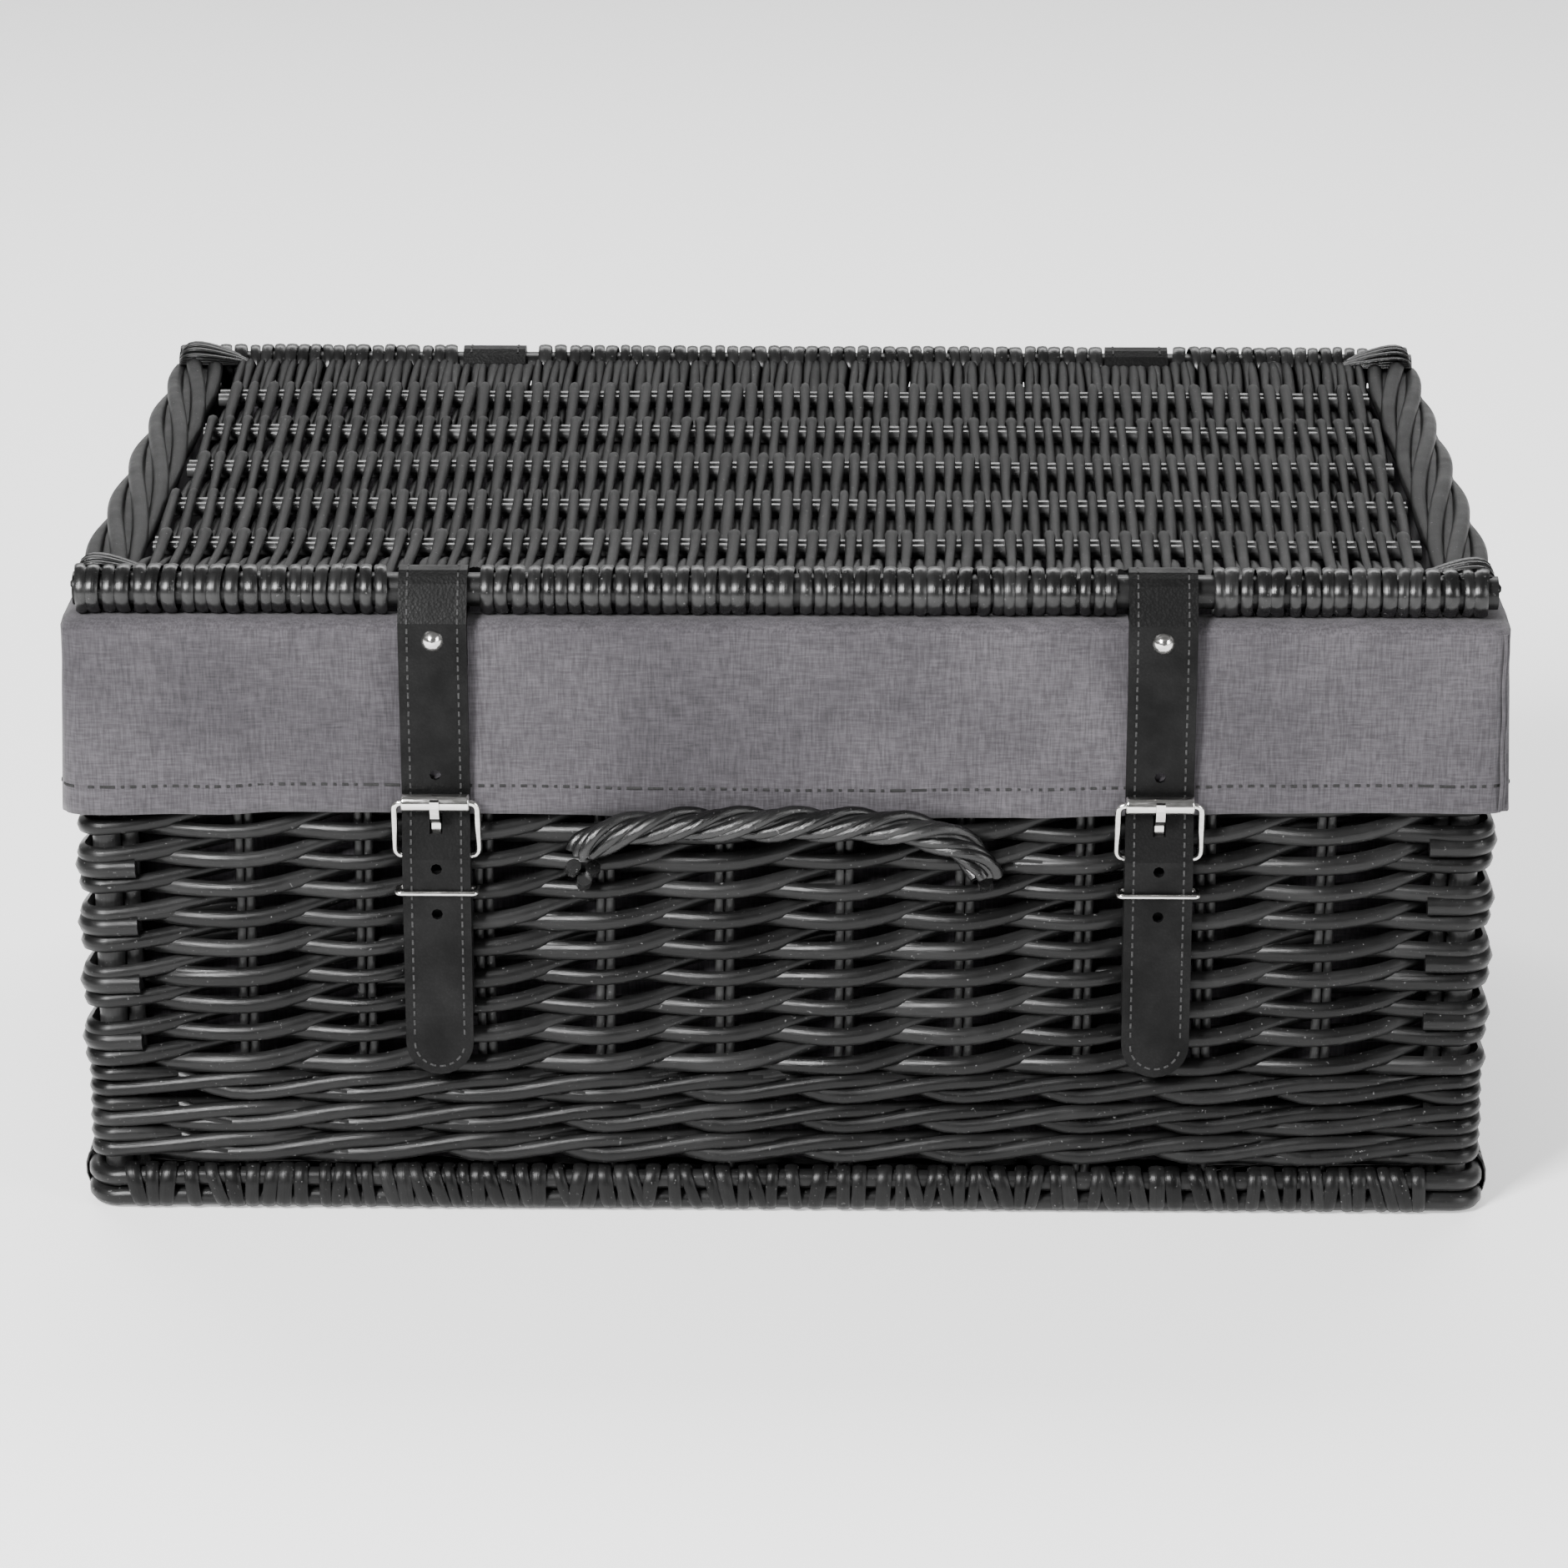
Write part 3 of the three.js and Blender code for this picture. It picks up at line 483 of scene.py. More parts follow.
def woven_rod(rods, first, count, height, outside, rod=ROD, taper=0.75):
    """One rod past count supports. height(step) gives z, and outside(step) says which side it passes."""
    points, turns = crossing(first - 1, False, height(0) - LEAD_DROP, LEAD_SLOPE, rod)
    for step in range(count):
        is_out = outside(step)
        slope = FRONT_SLOPE if is_out else BEHIND_SLOPE
        more_points, more_turns = crossing(first + step, is_out, height(step), slope, rod)
        points += more_points
        turns += more_turns
    tail, tail_turn = crossing(first + count, False, height(count - 1) + LEAD_DROP, LEAD_SLOPE, rod)
    path = curve_through(points + tail, turns + tail_turn, 0.95, 7)
    radius = rod * np.linspace(BUTT_SHARE, taper, len(path)) * (0.94 + 0.12 * rng.random())
    wobble = 1 + 0.03 * np.sin(np.arange(len(path)) * 0.7 + 6 * rng.random())
    rods.add(path, radius * wobble, radius * ROD_FLATNESS, UP)


def randing():
    """French randing: from each support a rod climbs, in front of one support and behind the next."""
    lap = len(SUPPORTS)
    climbs = int((RANDING_TOP - RANDING_BOTTOM) / (ROW / 2))
    halves = [Rods(), Rods()]
    for start in range(lap):
        joins = [0, *(earliest + rng.randrange(spread) for earliest, spread in RANDING_JOINS), climbs]
        for first, last in zip(joins, joins[1:]):
            first -= first % 2
            extra = [rng.uniform(-HEIGHT_JITTER_MM, HEIGHT_JITTER_MM) * MM for _ in range(last - first + 3)]

            def height(step, first=first, extra=extra):
                climb = (first + step) * ROW / 2 + RANDING_BOTTOM
                return climb + extra[step] + (0 if (first + step) % 2 == 0 else BEHIND_RISE)

            def outside(step, first=first):
                return (first + step) % 2 == 0

            count = min(last - first + 2, climbs - first + 1)
            if count > 1:
                woven_rod(halves[start % 2], start + first, count, height, outside)
    halves[0].make("randing_rods_a", WALL_WILLOW, "basket", "willow", ("wall_front", "wall_back"))
    halves[1].make("randing_rods_b", WALL_WILLOW, "basket", "willow", ("wall_left", "wall_right"))


STUB_ROWS = 7
STUB_START = 0.62  # rows above the randing's bottom
STUB_LEAD = 12 * MM
STUB_TAIL = 10 * MM


def corner_stubs(rods):
    """Short rods that turn round each corner post and end cut square, as far up as the cloth."""
    for index, (_, _, after_along, is_post) in enumerate(SUPPORTS):
        for row in range(STUB_ROWS if is_post else 0):
            z = RANDING_BOTTOM + (2 * row + STUB_START + index % 2) * ROW
            if z > VALANCE_BOTTOM - ROD:
                continue
            points, turns = crossing(index, True, z, 0.04)
            before_along = SUPPORTS[index - 1][2]
            lead = np.array([*(-before_along * STUB_LEAD), 0])
            tail = np.array([*(after_along * STUB_TAIL), 0.4 * MM])
            points = [np.array(points[0]) + lead, *points, np.array(points[-1]) + tail]
            turns = [turns[0], *turns, turns[-1]]
            path = curve_through(points, turns, 0.95, 5)
            rods.add(path, ROD * 1.14, ROD * 1.1, UP, tint=0.45 + 0.3 * rng.random())


def waling():
    """Three-rod waling: each rod passes in front of two supports and behind one."""
    rods = Rods()
    heights = (-WALE_ROD, WALE_ROD, WALE_ROD * 1.3)
    for row in range(WALE_ROWS):
        base = WALE_BOTTOM + (row + 0.5) * WALE_PITCH
        for start in range(3):
            joins = [0, 9 + 3 * rng.randrange(2), 21 + 3 * rng.randrange(2), len(SUPPORTS)]
            for first, last in zip(joins, joins[1:]):

                def height(step, first=first):
                    return base + heights[(first + step) % 3]

                def outside(step, first=first):
                    return (first + step) % 3 != 2

                woven_rod(rods, start + row + first, last - first + 2, height, outside, WALE_ROD, 0.9)
    corner_stubs(rods)
    rods.make("waling_rods", WALL_WILLOW, "basket", "willow")


def stakes():
    """Pairs of thin upright stakes, and the corner posts."""
    rods = Rods()
    posts = Rods()
    for point, out, along, is_post in SUPPORTS:
        if is_post:
            heights = np.linspace(POST_BOTTOM, STAKE_TOP, 9)
            posts.add([(*point, z) for z in heights], POST_RADIUS, POST_RADIUS, (*out, 0), 16, tint=0.3)
            for inward in ((1, 0), (0, 1)):
                x, y = point - np.sign(point) * inward * POST_PARTNER_STEP
                posts.add([(x, y, z) for z in heights], POST_PARTNER, POST_PARTNER, (0, 1, 0), 12, tint=0.3)
            continue
        for sign in (-1, 1):
            wobble = rng.uniform(-STAKE_WOBBLE_MM, STAKE_WOBBLE_MM) * MM
            path = []
            for t in np.linspace(0, 1, 7):
                shift = sign * STAKE_LEAN + wobble * math.sin(math.pi * t * 3)
                path.append((*(point + along * shift), STAKE_BOTTOM + (STAKE_TOP - STAKE_BOTTOM) * t))
            rods.add(path, STAKE_ROD, STAKE_ROD, (*out, 0))
    rods.make("wall_stakes", STAKE_WILLOW, "basket", "willow")
    posts.make("corner_posts", STAKE_WILLOW, "basket", "willow", tuple("corner_post_" + c for c in CORNERS))


FOOT_RODS_Z = (4.0 * MM, 10.9 * MM)
FOOT_ROD = 3.4 * MM
FOOT_INSET = 2.6 * MM
FOOT_CORNER = 9 * MM
FOOT_WRAP = (7.3 * MM, 4.6 * MM)  # half of a loop's height and depth
FOOT_WRAP_Z = 8.2 * MM
FOOT_WRAP_END = 14 * MM  # from a corner to the first loop
FOOT_WRAP_HALVES_MM = (1.7, 2.6)
FOOT_WRAP_LEANS_MM = (-1.5, 2.5)
FOOT_WRAP_GAPS_MM = (0.3, 0.5, 0.8, 1.4, 3.5)
FOOT_WAVE = 0.3 * MM
WRAP_THICK = 0.75 * MM


def foot_border():
    """Two rods round the foot, with split willow wound over both along each side."""
    rods = Rods()
    hx, hy = HALF_WIDTH - FOOT_INSET, HALF_DEPTH - FOOT_INSET
    for z, radius in zip(FOOT_RODS_Z, (FOOT_ROD, FOOT_ROD * 0.95)):
        points, _ = rounded_rectangle(hx, hy, FOOT_CORNER, 40, 28, 8)
        path = [(*p, z + FOOT_WAVE * math.sin(i * 0.37)) for i, p in enumerate(points)]
        rods.add(path, radius, radius, UP, 10, closed=True)
    rods.make("foot_rods", WALL_WILLOW, "basket", "willow", tuple("foot_border_" + w for w in WALLS))
    wraps = Rods()
    for along, out in (((1, 0), (0, -1)), ((-1, 0), (0, 1)), ((0, 1), (1, 0)), ((0, -1), (-1, 0))):
        along, out = np.array(along, float), np.array(out, float)
        distance, half_length = (hy, hx) if out[0] == 0 else (hx, hy)
        place = FOOT_WRAP_END - half_length
        while place < half_length - FOOT_WRAP_END:
            width = rng.uniform(*FOOT_WRAP_HALVES_MM) * MM
            lean = rng.uniform(*FOOT_WRAP_LEANS_MM) * MM
            loop = []
            for angle in np.arange(14) * 2 * math.pi / 14:
                up, deep = FOOT_WRAP[0] * math.cos(angle), FOOT_WRAP[1] * math.sin(angle)
                point = along * (place - lean * math.cos(angle)) + out * (distance + deep)
                loop.append((*point, FOOT_WRAP_Z + up))
            wraps.add(loop, width, WRAP_THICK, (*along, 0), 8, closed=True)
            place += 2 * width + rng.choice(FOOT_WRAP_GAPS_MM) * MM
    wraps.make("foot_wraps", FOOT_WILLOW, "basket", "willow")


BASE_Z = 6.3 * MM
BASE_STICKS = 11
BASE_STICK = 2.6 * MM
BASE_RISE = 3.2 * MM
BASE_WEAVER = (2.2 * MM, 2.5 * MM)
BASE_PITCH = 5.1 * MM


def base_weave():
    """The flat base: weavers along the basket over and under thick sticks."""
    (left, front, _), (right, back, _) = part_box("base_panel")
    rods = Rods()
    stick_x = [left + (i + 0.5) * (right - left) / BASE_STICKS for i in range(BASE_STICKS)]
    for x in stick_x:
        rods.add([(x, y, BASE_Z) for y in (front, 0, back)], BASE_STICK, BASE_STICK, UP)
    y, row = front + 3 * MM, 0
    while y < back - 2 * MM:
        over = [(x, y, BASE_Z + (BASE_RISE if (i + row) % 2 else -BASE_RISE)) for i, x in enumerate(stick_x)]
        points = [(left, y, BASE_Z), *over, (right, y, BASE_Z)]
        rods.add(curve_through(points, [(1, 0, 0)] * len(points), 0.9, 4), *BASE_WEAVER, UP, 6)
        y += BASE_PITCH
        row += 1
    rods.make("base_weave", WALL_WILLOW, "basket", "willow", ("base_panel",))


RIM_INSET = 4 * MM
RIM_CORNER = 7 * MM
RIM_ROD = 1.9 * MM
RIM_RODS_MM = ((-3.2, -1.6), (-3.2, 1.6), (-6.5, 0.0))  # above the walls, and out from the rim's middle


def rim():
    """The border on top of the walls, under the cloth: three rods laid along it."""
    rods = Rods()
    hx, hy = HALF_WIDTH - RIM_INSET, HALF_DEPTH - RIM_INSET
    for z, out in RIM_RODS_MM:
        points, _ = rounded_rectangle(hx + out * MM, hy + out * MM, RIM_CORNER, 30, 20, 6)
        rods.add([(*p, RIM_TOP + z * MM) for p in points], RIM_ROD, RIM_ROD, UP, closed=True)
    rods.make("rim_rods", WALL_WILLOW, "basket", "willow", tuple("rim_" + w for w in WALLS))


randing()
waling()
stakes()
foot_border()
base_weave()
rim()

# ---- cloth liner

CLOTH_THICK = 1.0 * MM
BAG_INSET = 13 * MM
BAG_CORNER = 14 * MM
VALANCE_OUT = 2.2 * MM
VALANCE_CORNER = 8.5 * MM
FLOOR_Z = 13.2 * MM
HEM = 9.5 * MM
COLUMNS = (84, 56, 10)  # along a long side, along a short side and round a corner
STITCH_COLUMNS = (460, 306, 10)
FLOOR_SHARES = (0.12, 0.4, 0.7, 0.9)  # rings of the bag's floor, from its middle out
BAG_ROWS = 10
FOLD_ROWS = 6
VALANCE_ROWS = 18
FOLD_RISE = 4.0 * MM
FOLD_DEPTH = 2.1 * MM
DEEPEST_DENT = -0.5 * MM
CORNER_STAND_OFF = 0.9 * MM
STRAP_FLAT = 14 * MM  # from a strap's middle, where the cloth lies flat
STRAP_FREE = 22 * MM  # over this much more it gets all its folds
HANDLE_FLAT = 80 * MM
BAG_RIPPLE = 0.8 * MM
SEAM_EDGES_MM = ((-0.55, 0.35), (0.55, 0.1))  # across from a seam's middle, and how far out
SEAM_EDGE = (0.42 * MM, 0.7 * MM)
HEM_PITCH = 3.4 * MM
HEM_DASH = 2.5 * MM
HEM_THREAD = (0.5 * MM, 0.3 * MM)


def valance_depth(z):
    """0 at the fold over the rim, 1 at the lower edge."""
    return (LINER_TOP - z) / (LINER_TOP - VALANCE_BOTTOM)


def liner_folds(x, y, z, out):
    """How far folds push the valance: little under the straps and behind the handle."""
    along = x if abs(out[1]) > 0.5 else y + 3
    folds = 0.5 * math.sin(along * 61 + 2.1 * math.sin(along * 23))
    folds += 0.5 * math.sin(along * 27 + z * 38 + 1.3)
    folds += 0.8 * math.sin(along * 143 + z * 95 + 2 * math.sin(z * 60)) * math.sin(along * 31 + 0.6) ** 2
    amount = FOLD_DEPTH * valance_depth(z) ** 0.7 * folds
    if out[1] < -0.5:
        nearest = min(abs(x - place) for place in STRAP_X.values())
        amount *= min(1, max(0, (nearest - STRAP_FLAT) / STRAP_FREE))
        if abs(x) < HANDLE_FLAT:
            amount *= 0.35
    return amount


def valance_stand_off(x, y, z, out):
    """How far the valance stands off the walls there, with its folds and its stiff corners."""
    corner_share = 1 - abs(abs(out[0]) - abs(out[1]))
    return max(liner_folds(x, y, z, out), DEEPEST_DENT) + CORNER_STAND_OFF * corner_share * valance_depth(z)


def liner_sag(x, y, depth):
    """The valance's lower edge hangs in shallow waves."""
    return MM * depth * (0.9 * math.sin(x * 19 + y * 13) + 0.6 * math.sin(x * 7 - y * 31 + 1))


def liner_profile():
    """From the floor's middle to the valance's edge: (inset from the outside, height, share folded over)."""
    profile = [(BAG_INSET + (1 - share) * 0.9 * HALF_DEPTH, FLOOR_Z, 0.0) for share in FLOOR_SHARES]
    bag_bottom, bag_top = FLOOR_Z + 2 * MM, RIM_TOP - 2 * MM
    for z in np.linspace(bag_bottom, bag_top, BAG_ROWS + 1):
        profile.append((BAG_INSET, z, 0.0))
    for i in range(1, FOLD_ROWS):
        turn = math.pi * i / FOLD_ROWS
        inset = BAG_INSET * (1 + math.cos(turn)) / 2 - VALANCE_OUT * (1 - math.cos(turn)) / 2
        profile.append((inset, bag_top + FOLD_RISE * math.sin(turn), i / FOLD_ROWS))
    for z in np.linspace(bag_top, VALANCE_BOTTOM, VALANCE_ROWS + 1):
        profile.append((-VALANCE_OUT, z, 1.0))
    return profile


def liner():
    """One cloth: the bag's floor and sides, folded over the rim into the valance."""
    points, faces = [], []
    profile = liner_profile()
    for inset, z, outside in profile:
        radius = BAG_CORNER + (VALANCE_CORNER - BAG_CORNER) * outside
        ring, normals = rounded_rectangle(HALF_WIDTH - inset, HALF_DEPTH - inset, radius, *COLUMNS)
        for (x, y), out in zip(ring, normals):
            shift = 0.0
            sag = 0.0
            if outside == 1:
                shift = valance_stand_off(x, y, z, out)
                sag = liner_sag(x, y, valance_depth(z))
            elif z > 20 * MM and outside == 0:
                shift = BAG_RIPPLE * (math.sin(x * 34 + z * 21) * math.sin(z * 15 + y * 30) - 1)
            points.append((x + out[0] * shift, y + out[1] * shift, z + sag))
    width = len(ring)
    for row in range(len(profile) - 1):
        low, high = row * width, (row + 1) * width
        for i in range(width):
            j = (i + 1) % width
            faces.append((low + i, low + j, high + j, high + i))
    faces.append(tuple(reversed(range(width))))
    mesh = bpy.data.meshes.new("liner_cloth")
    mesh.from_pydata(points, [], faces)
    piece = finish_mesh(mesh, "liner_cloth", CLOTH, "basket", ("liner",))
    thick = piece.modifiers.new("thickness", "SOLIDIFY")
    thick.thickness = CLOTH_THICK
    thick.offset = 1
    return piece


def liner_seams():
    """The upright seams where the valance's strips are joined at two corners."""
    rods = Rods()
    reach = VALANCE_CORNER * (1 - math.sqrt(0.5)) - VALANCE_OUT
    for sign_x, sign_y in ((1, -1), (-1, 1)):
        for offset, lift in SEAM_EDGES_MM:
            path = []
            for t in np.linspace(0, 1, 20):
                depth = 0.06 + 0.93 * t
                z = LINER_TOP + (VALANCE_BOTTOM - LINER_TOP) * depth
                out = (CORNER_STAND_OFF * depth + (lift + 0.25 * math.sin(t * 17)) * MM) * math.sqrt(0.5)
                x = sign_x * (HALF_WIDTH - reach + out) - sign_y * offset * MM
                y = sign_y * (HALF_DEPTH - reach + out) + sign_x * offset * MM
                path.append((x, y, z + liner_sag(x, y, depth)))
            rods.add(path, *SEAM_EDGE, (sign_x, sign_y, 0))
    return rods.make("liner_seams", CLOTH, "basket", "liner_cloth")


def liner_stitching():
    """A row of stitches above the valance's edge."""
    rods = Rods()
    hx, hy = HALF_WIDTH + VALANCE_OUT, HALF_DEPTH + VALANCE_OUT
    ring, normals = rounded_rectangle(hx, hy, VALANCE_CORNER, *STITCH_COLUMNS)
    z = VALANCE_BOTTOM + HEM
    path = []
    for place, out, length in zip(ring[:-1], normals, lengths_along(ring)):
        if length % HEM_PITCH < HEM_DASH:
            shift = valance_stand_off(*place, z, out) + 0.05 * MM
            path.append((*(place + out * shift), z + liner_sag(*place, valance_depth(z))))
        elif len(path) > 1:
            rods.add(path, *HEM_THREAD, UP, 6)
            path = []
    return rods.make("liner_stitching", CLOTH_THREAD, "basket", "liner_cloth")


liner_piece = liner()
stitching_piece = liner_stitching()
seam_piece = liner_seams()

# ---- lid

BARE_ROD = 5.4 * MM
WRAP_REACH = 7.1 * MM
LID_EDGE_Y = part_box("lid_braid_left")[1][1]
BRAID_INNER_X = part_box("lid_braid_right")[0][0]
LID_STAKE_NODES = [f"lid_stake_{i}_{row}" for i in range(1, 6) for row in ("front", "back")]
LID_STAKE_Y = sorted(round(middle(node)[1], 6) for node in LID_STAKE_NODES)
STAKE = 2.45 * MM
STAKE_BOW = 0.6 * MM
WEAVER_PITCH = 3.22 * MM
WEAVER_THICK = 1.55 * MM
BETWEEN_DIP = 2.3 * MM
DEEPEST_DIP = 2.7 * MM
CREST_REACH = 10 * MM  # from the middle of a pair back to where a weaver that passes over it is low again
BAND_HALF = 12.4 * MM  # half of what a strap covers on a rod


def lid_stakes():
    """Five pairs of stakes along the lid, each a little bowed."""
    rods = Rods()
    for y in LID_STAKE_Y:
        path = []
        for t in np.linspace(-1, 1, 25):
            path.append((t * BRAID_INNER_X, y + STAKE_BOW * math.sin(t * 9 + y * 90), LID_Z))
        rods.add(path, STAKE, STAKE, UP, 12)
    rods.make("lid_stakes", LID_STAKE_WILLOW, "lid", "willow_stake", LID_STAKE_NODES)


PAIR_HALF = 2.9 * MM  # from a pair's middle to one of its stakes
NOTCH = 6.5 * MM  # how much shorter a weaver ends where leather goes round the border rod
NOTCH_MARGIN = 1.5 * MM
WEAVER_END = 2 * MM  # how far past the weave's edge a weaver runs, over the border rod
WEAVER_END_RISE = 2.5 * MM
WEAVER_WIDTHS_MM = (1.65, 2.15)
WEAVER_SLANTS_MM = (1.0, 3.0)
WEAVER_JITTER_MM = 0.6


def weaver_end(x, places):
    """How far from the middle of the lid a weaver ends: less where it meets leather."""
    notched = min(abs(x - place) for place in places.values()) < BAND_HALF + NOTCH_MARGIN
    return LID_EDGE_Y + WEAVER_END - (NOTCH if notched else 0)


def lid_weavers():
    """Weavers from front to back, over one pair of stakes and under the next."""
    rods = Rods()
    pair_middles = [(a + b) / 2 for a, b in zip(LID_STAKE_Y[::2], LID_STAKE_Y[1::2])]
    count = int(2 * (BRAID_INNER_X - 1.5 * MM) / WEAVER_PITCH)
    for i in range(count + 1):
        x = (i - count / 2) * WEAVER_PITCH
        jitter = [rng.uniform(-WEAVER_JITTER_MM, WEAVER_JITTER_MM) * MM for _ in range(7)]
        slant = rng.uniform(*WEAVER_SLANTS_MM) * MM
        width = rng.uniform(*WEAVER_WIDTHS_MM) * MM
        front_end = weaver_end(x - slant, STRAP_X)
        back_end = weaver_end(x + slant, HINGE_X)
        points = [(x - slant + jitter[5], -front_end, LID_Z + WEAVER_END_RISE)]
        turns = [(0, 1, 0.1)]
        for k, y in enumerate(pair_middles):
            sign = 1 if (i + k) % 2 else -1
            rise = sign * (STAKE + WEAVER_THICK + 0.15 * MM)
            place = x + slant * y / LID_EDGE_Y + jitter[k]
            points += [(place, y - PAIR_HALF, LID_Z + rise), (place, y + PAIR_HALF, LID_Z + rise)]
            if sign > 0:
                points.append((place, y + CREST_REACH, LID_Z - BETWEEN_DIP))
                turns += [(0, 1, 0.2), (0, 1, -0.3), (0, 1, -0.2)]
            else:
                turns += [(0, 1, -0.3), (0, 1, 0.3)]
            if k < len(pair_middles) - 1:
                between = (y + pair_middles[k + 1]) / 2
                drift = x + slant * between / LID_EDGE_Y
                points.append((drift, between, LID_Z - (DEEPEST_DIP if sign > 0 else 0)))
                turns.append((0.02, 1, 0 if sign > 0 else 0.17))
        points.append((x + slant + jitter[6], back_end, LID_Z + WEAVER_END_RISE))
        turns.append((0, 1, -0.1))
        path = curve_through(points, turns, 0.9, 4)
        swell = 1 + 0.1 * np.cos(np.linspace(0, 1, len(path)) * 2 * math.pi * 5.5 + i * math.pi)
        rods.add(path, WEAVER_THICK, width * swell, UP)
    rods.make("lid_weavers", LID_WILLOW, "lid", "lid_willow", ("lid_weave",))


WRAP_HALVES_MM = (1.75, 2.45)
WRAP_LEANS_MM = (-0.7, 1.2)
WRAP_GAPS_MM = (0.25, 1.0)


def lid_borders():
    """Front and back rods of the lid with split willow wound over them, bare under the leather."""
    bare = Rods()
    wraps = Rods()
    for side, gaps in ((-1, STRAP_X), (1, HINGE_X)):
        y = side * LID_ROD_Y
        path = [(t * LID_HALF_WIDTH, y, LID_Z) for t in np.linspace(-1, 1, 33)]
        bare.add(path, BARE_ROD, BARE_ROD, UP, 20, tint=0.5)
        place = 2.4 * MM - LID_HALF_WIDTH
        while place < LID_HALF_WIDTH - 2 * MM:
            half = rng.uniform(*WRAP_HALVES_MM) * MM
            lean = rng.uniform(*WRAP_LEANS_MM) * MM
            if min(abs(place - gap) for gap in gaps.values()) > BAND_HALF + half:
                reach = WRAP_REACH * rng.uniform(0.96, 1.03)
                loop = []
                for angle in np.arange(20) * 2 * math.pi / 20:
                    deep = 1 + 0.05 * math.cos(4 * angle)
                    up, out = reach * deep * math.cos(angle), reach * deep * math.sin(angle)
                    loop.append((place + lean * math.sin(angle) * -side, y + out, LID_Z + up))
                wraps.add(loop, half, WRAP_THICK, (1, 0, 0), 8, closed=True)
            place += 2 * half + rng.uniform(*WRAP_GAPS_MM) * MM
    bare.make("lid_border_rods", WALL_WILLOW, "lid", "willow", ("lid_rod_front", "lid_rod_back"))
    wraps.make("lid_border_wraps", WRAP_WILLOW, "lid", "willow")


BRAID_BULGE = 1.8 * MM
BRAID_WIDE = 7.2 * MM  # how far a strand swings to each side, and up and down
BRAID_DEEP = 3.5 * MM
BRAID_STRANDS = 5
BRAID_PITCH = 56 * MM  # between strands that cross the top
BRAID_STRAND = (2.3 * MM, 2.9 * MM)
BRAID_CORE = (2.6 * MM, 7 * MM)


def lid_braids():
    """The rope of long rods along each side of the lid."""
    rods = Rods()
    twist = 2 * math.pi / (BRAID_PITCH * BRAID_STRANDS)
    for side in (-1, 1):
        x = side * ((BRAID_INNER_X + LID_HALF_WIDTH) / 2 + BRAID_BULGE)
        steps = np.linspace(-LID_EDGE_Y - 3 * MM, LID_EDGE_Y + 3 * MM, 76)
        rods.add([(x, y, LID_Z) for y in steps[::5]], *BRAID_CORE, UP)
        high, wide = BRAID_STRAND
        for k in range(BRAID_STRANDS):
            turn = side * steps * twist + 2 * math.pi * k / BRAID_STRANDS + side
            path = np.stack([x + BRAID_WIDE * np.sin(turn), steps, LID_Z + BRAID_DEEP * np.cos(turn)], 1)
            rods.add(path, high * rng.uniform(0.94, 1.06), wide, UP, 10)
    rods.make("lid_braids", BRAID_WILLOW, "lid", "willow", ("lid_braid_left", "lid_braid_right"))


BINDING_DROP = 4 * MM
BINDING_INSET = 5 * MM
BINDING_LAYERS = (1.0, 0.74, 0.5, 0.28)
BINDING_STRIPS = 7
BINDING_STRIP = (0.8 * MM, 1.2 * MM)
BINDING_BASE = LID_Z + 2 * MM
CREST_SHIFT = 0.45  # how far the crest lies towards the lid's side, as a share of the binding


def corner_bindings():
    """Split willow strips that lash each corner of the lid together."""
    rods = Rods()
    for corner in CORNERS:
        low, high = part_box("corner_binding_" + corner)
        cx, cy = (low[0] + high[0]) / 2, (low[1] + high[1]) / 2
        half_x, half_y = (high[0] - low[0]) / 2, (high[1] - low[1]) / 2
        cy -= math.copysign(BINDING_INSET, cy)
        out = math.copysign(1, cx)
        for layer in BINDING_LAYERS:
            for across in np.linspace(-1, 1, BINDING_STRIPS):
                spread = across * (half_y - 1.2 * MM) + rng.uniform(-0.3, 0.3) * MM
                rise = (high[2] - BINDING_DROP - BINDING_BASE) * layer * (1 - 0.42 * across ** 2)
                path = []
                for t in np.linspace(-1, 1, 15):
                    bend = math.cos((t - out * CREST_SHIFT * (1 - t * t)) * math.pi / 2)
                    x = cx + (half_x - 1 * MM) * math.sin(t * math.pi / 2)
                    path.append((x, cy + spread * (0.35 + 0.65 * bend), BINDING_BASE + rise * bend ** 0.75))
                rods.add(path, *BINDING_STRIP, (0, 0.001, 1), 8)
    names = ["corner_binding_" + corner for corner in CORNERS]
    rods.make("corner_bindings", WRAP_WILLOW, "lid", "willow", names)


lid_stakes()
lid_weavers()
lid_borders()
lid_braids()
corner_bindings()

# ---- leather


def surface_of(name):
    """A CAD piece's surface, for rays to meet."""
    mesh = bpy.data.objects[name].data
    corners = [vertex.co for vertex in mesh.vertices]
    return BVHTree.FromPolygons(corners, [tuple(face.vertices) for face in mesh.polygons])


EDGE_ANGLE = math.radians(35)


def dress(name, material, bevel):
    """A CAD piece that stays: its edges eased and its finish put on."""
    piece = bpy.data.objects[name]
    piece.data.shade_smooth()
    piece.data.set_sharp_from_angle(angle=EDGE_ANGLE)
    for slot in piece.material_slots:
        slot.material = material
    if not piece.material_slots:
        piece.data.materials.append(material)
    ease = piece.modifiers.new("eased_edges", "BEVEL")
    ease.width = bevel
    ease.segments = 3
    ease.limit_method = "ANGLE"
    ease.angle_limit = CUT_ANGLE
    ease.harden_normals = False


STITCH_INSET = 2.9 * MM
STITCH_PITCH = 3.1 * MM
STITCH_DASH = 2.1 * MM
STITCH_BREAK = 4 * MM  # two hits farther apart than this are on different faces
THREAD = 0.36 * MM


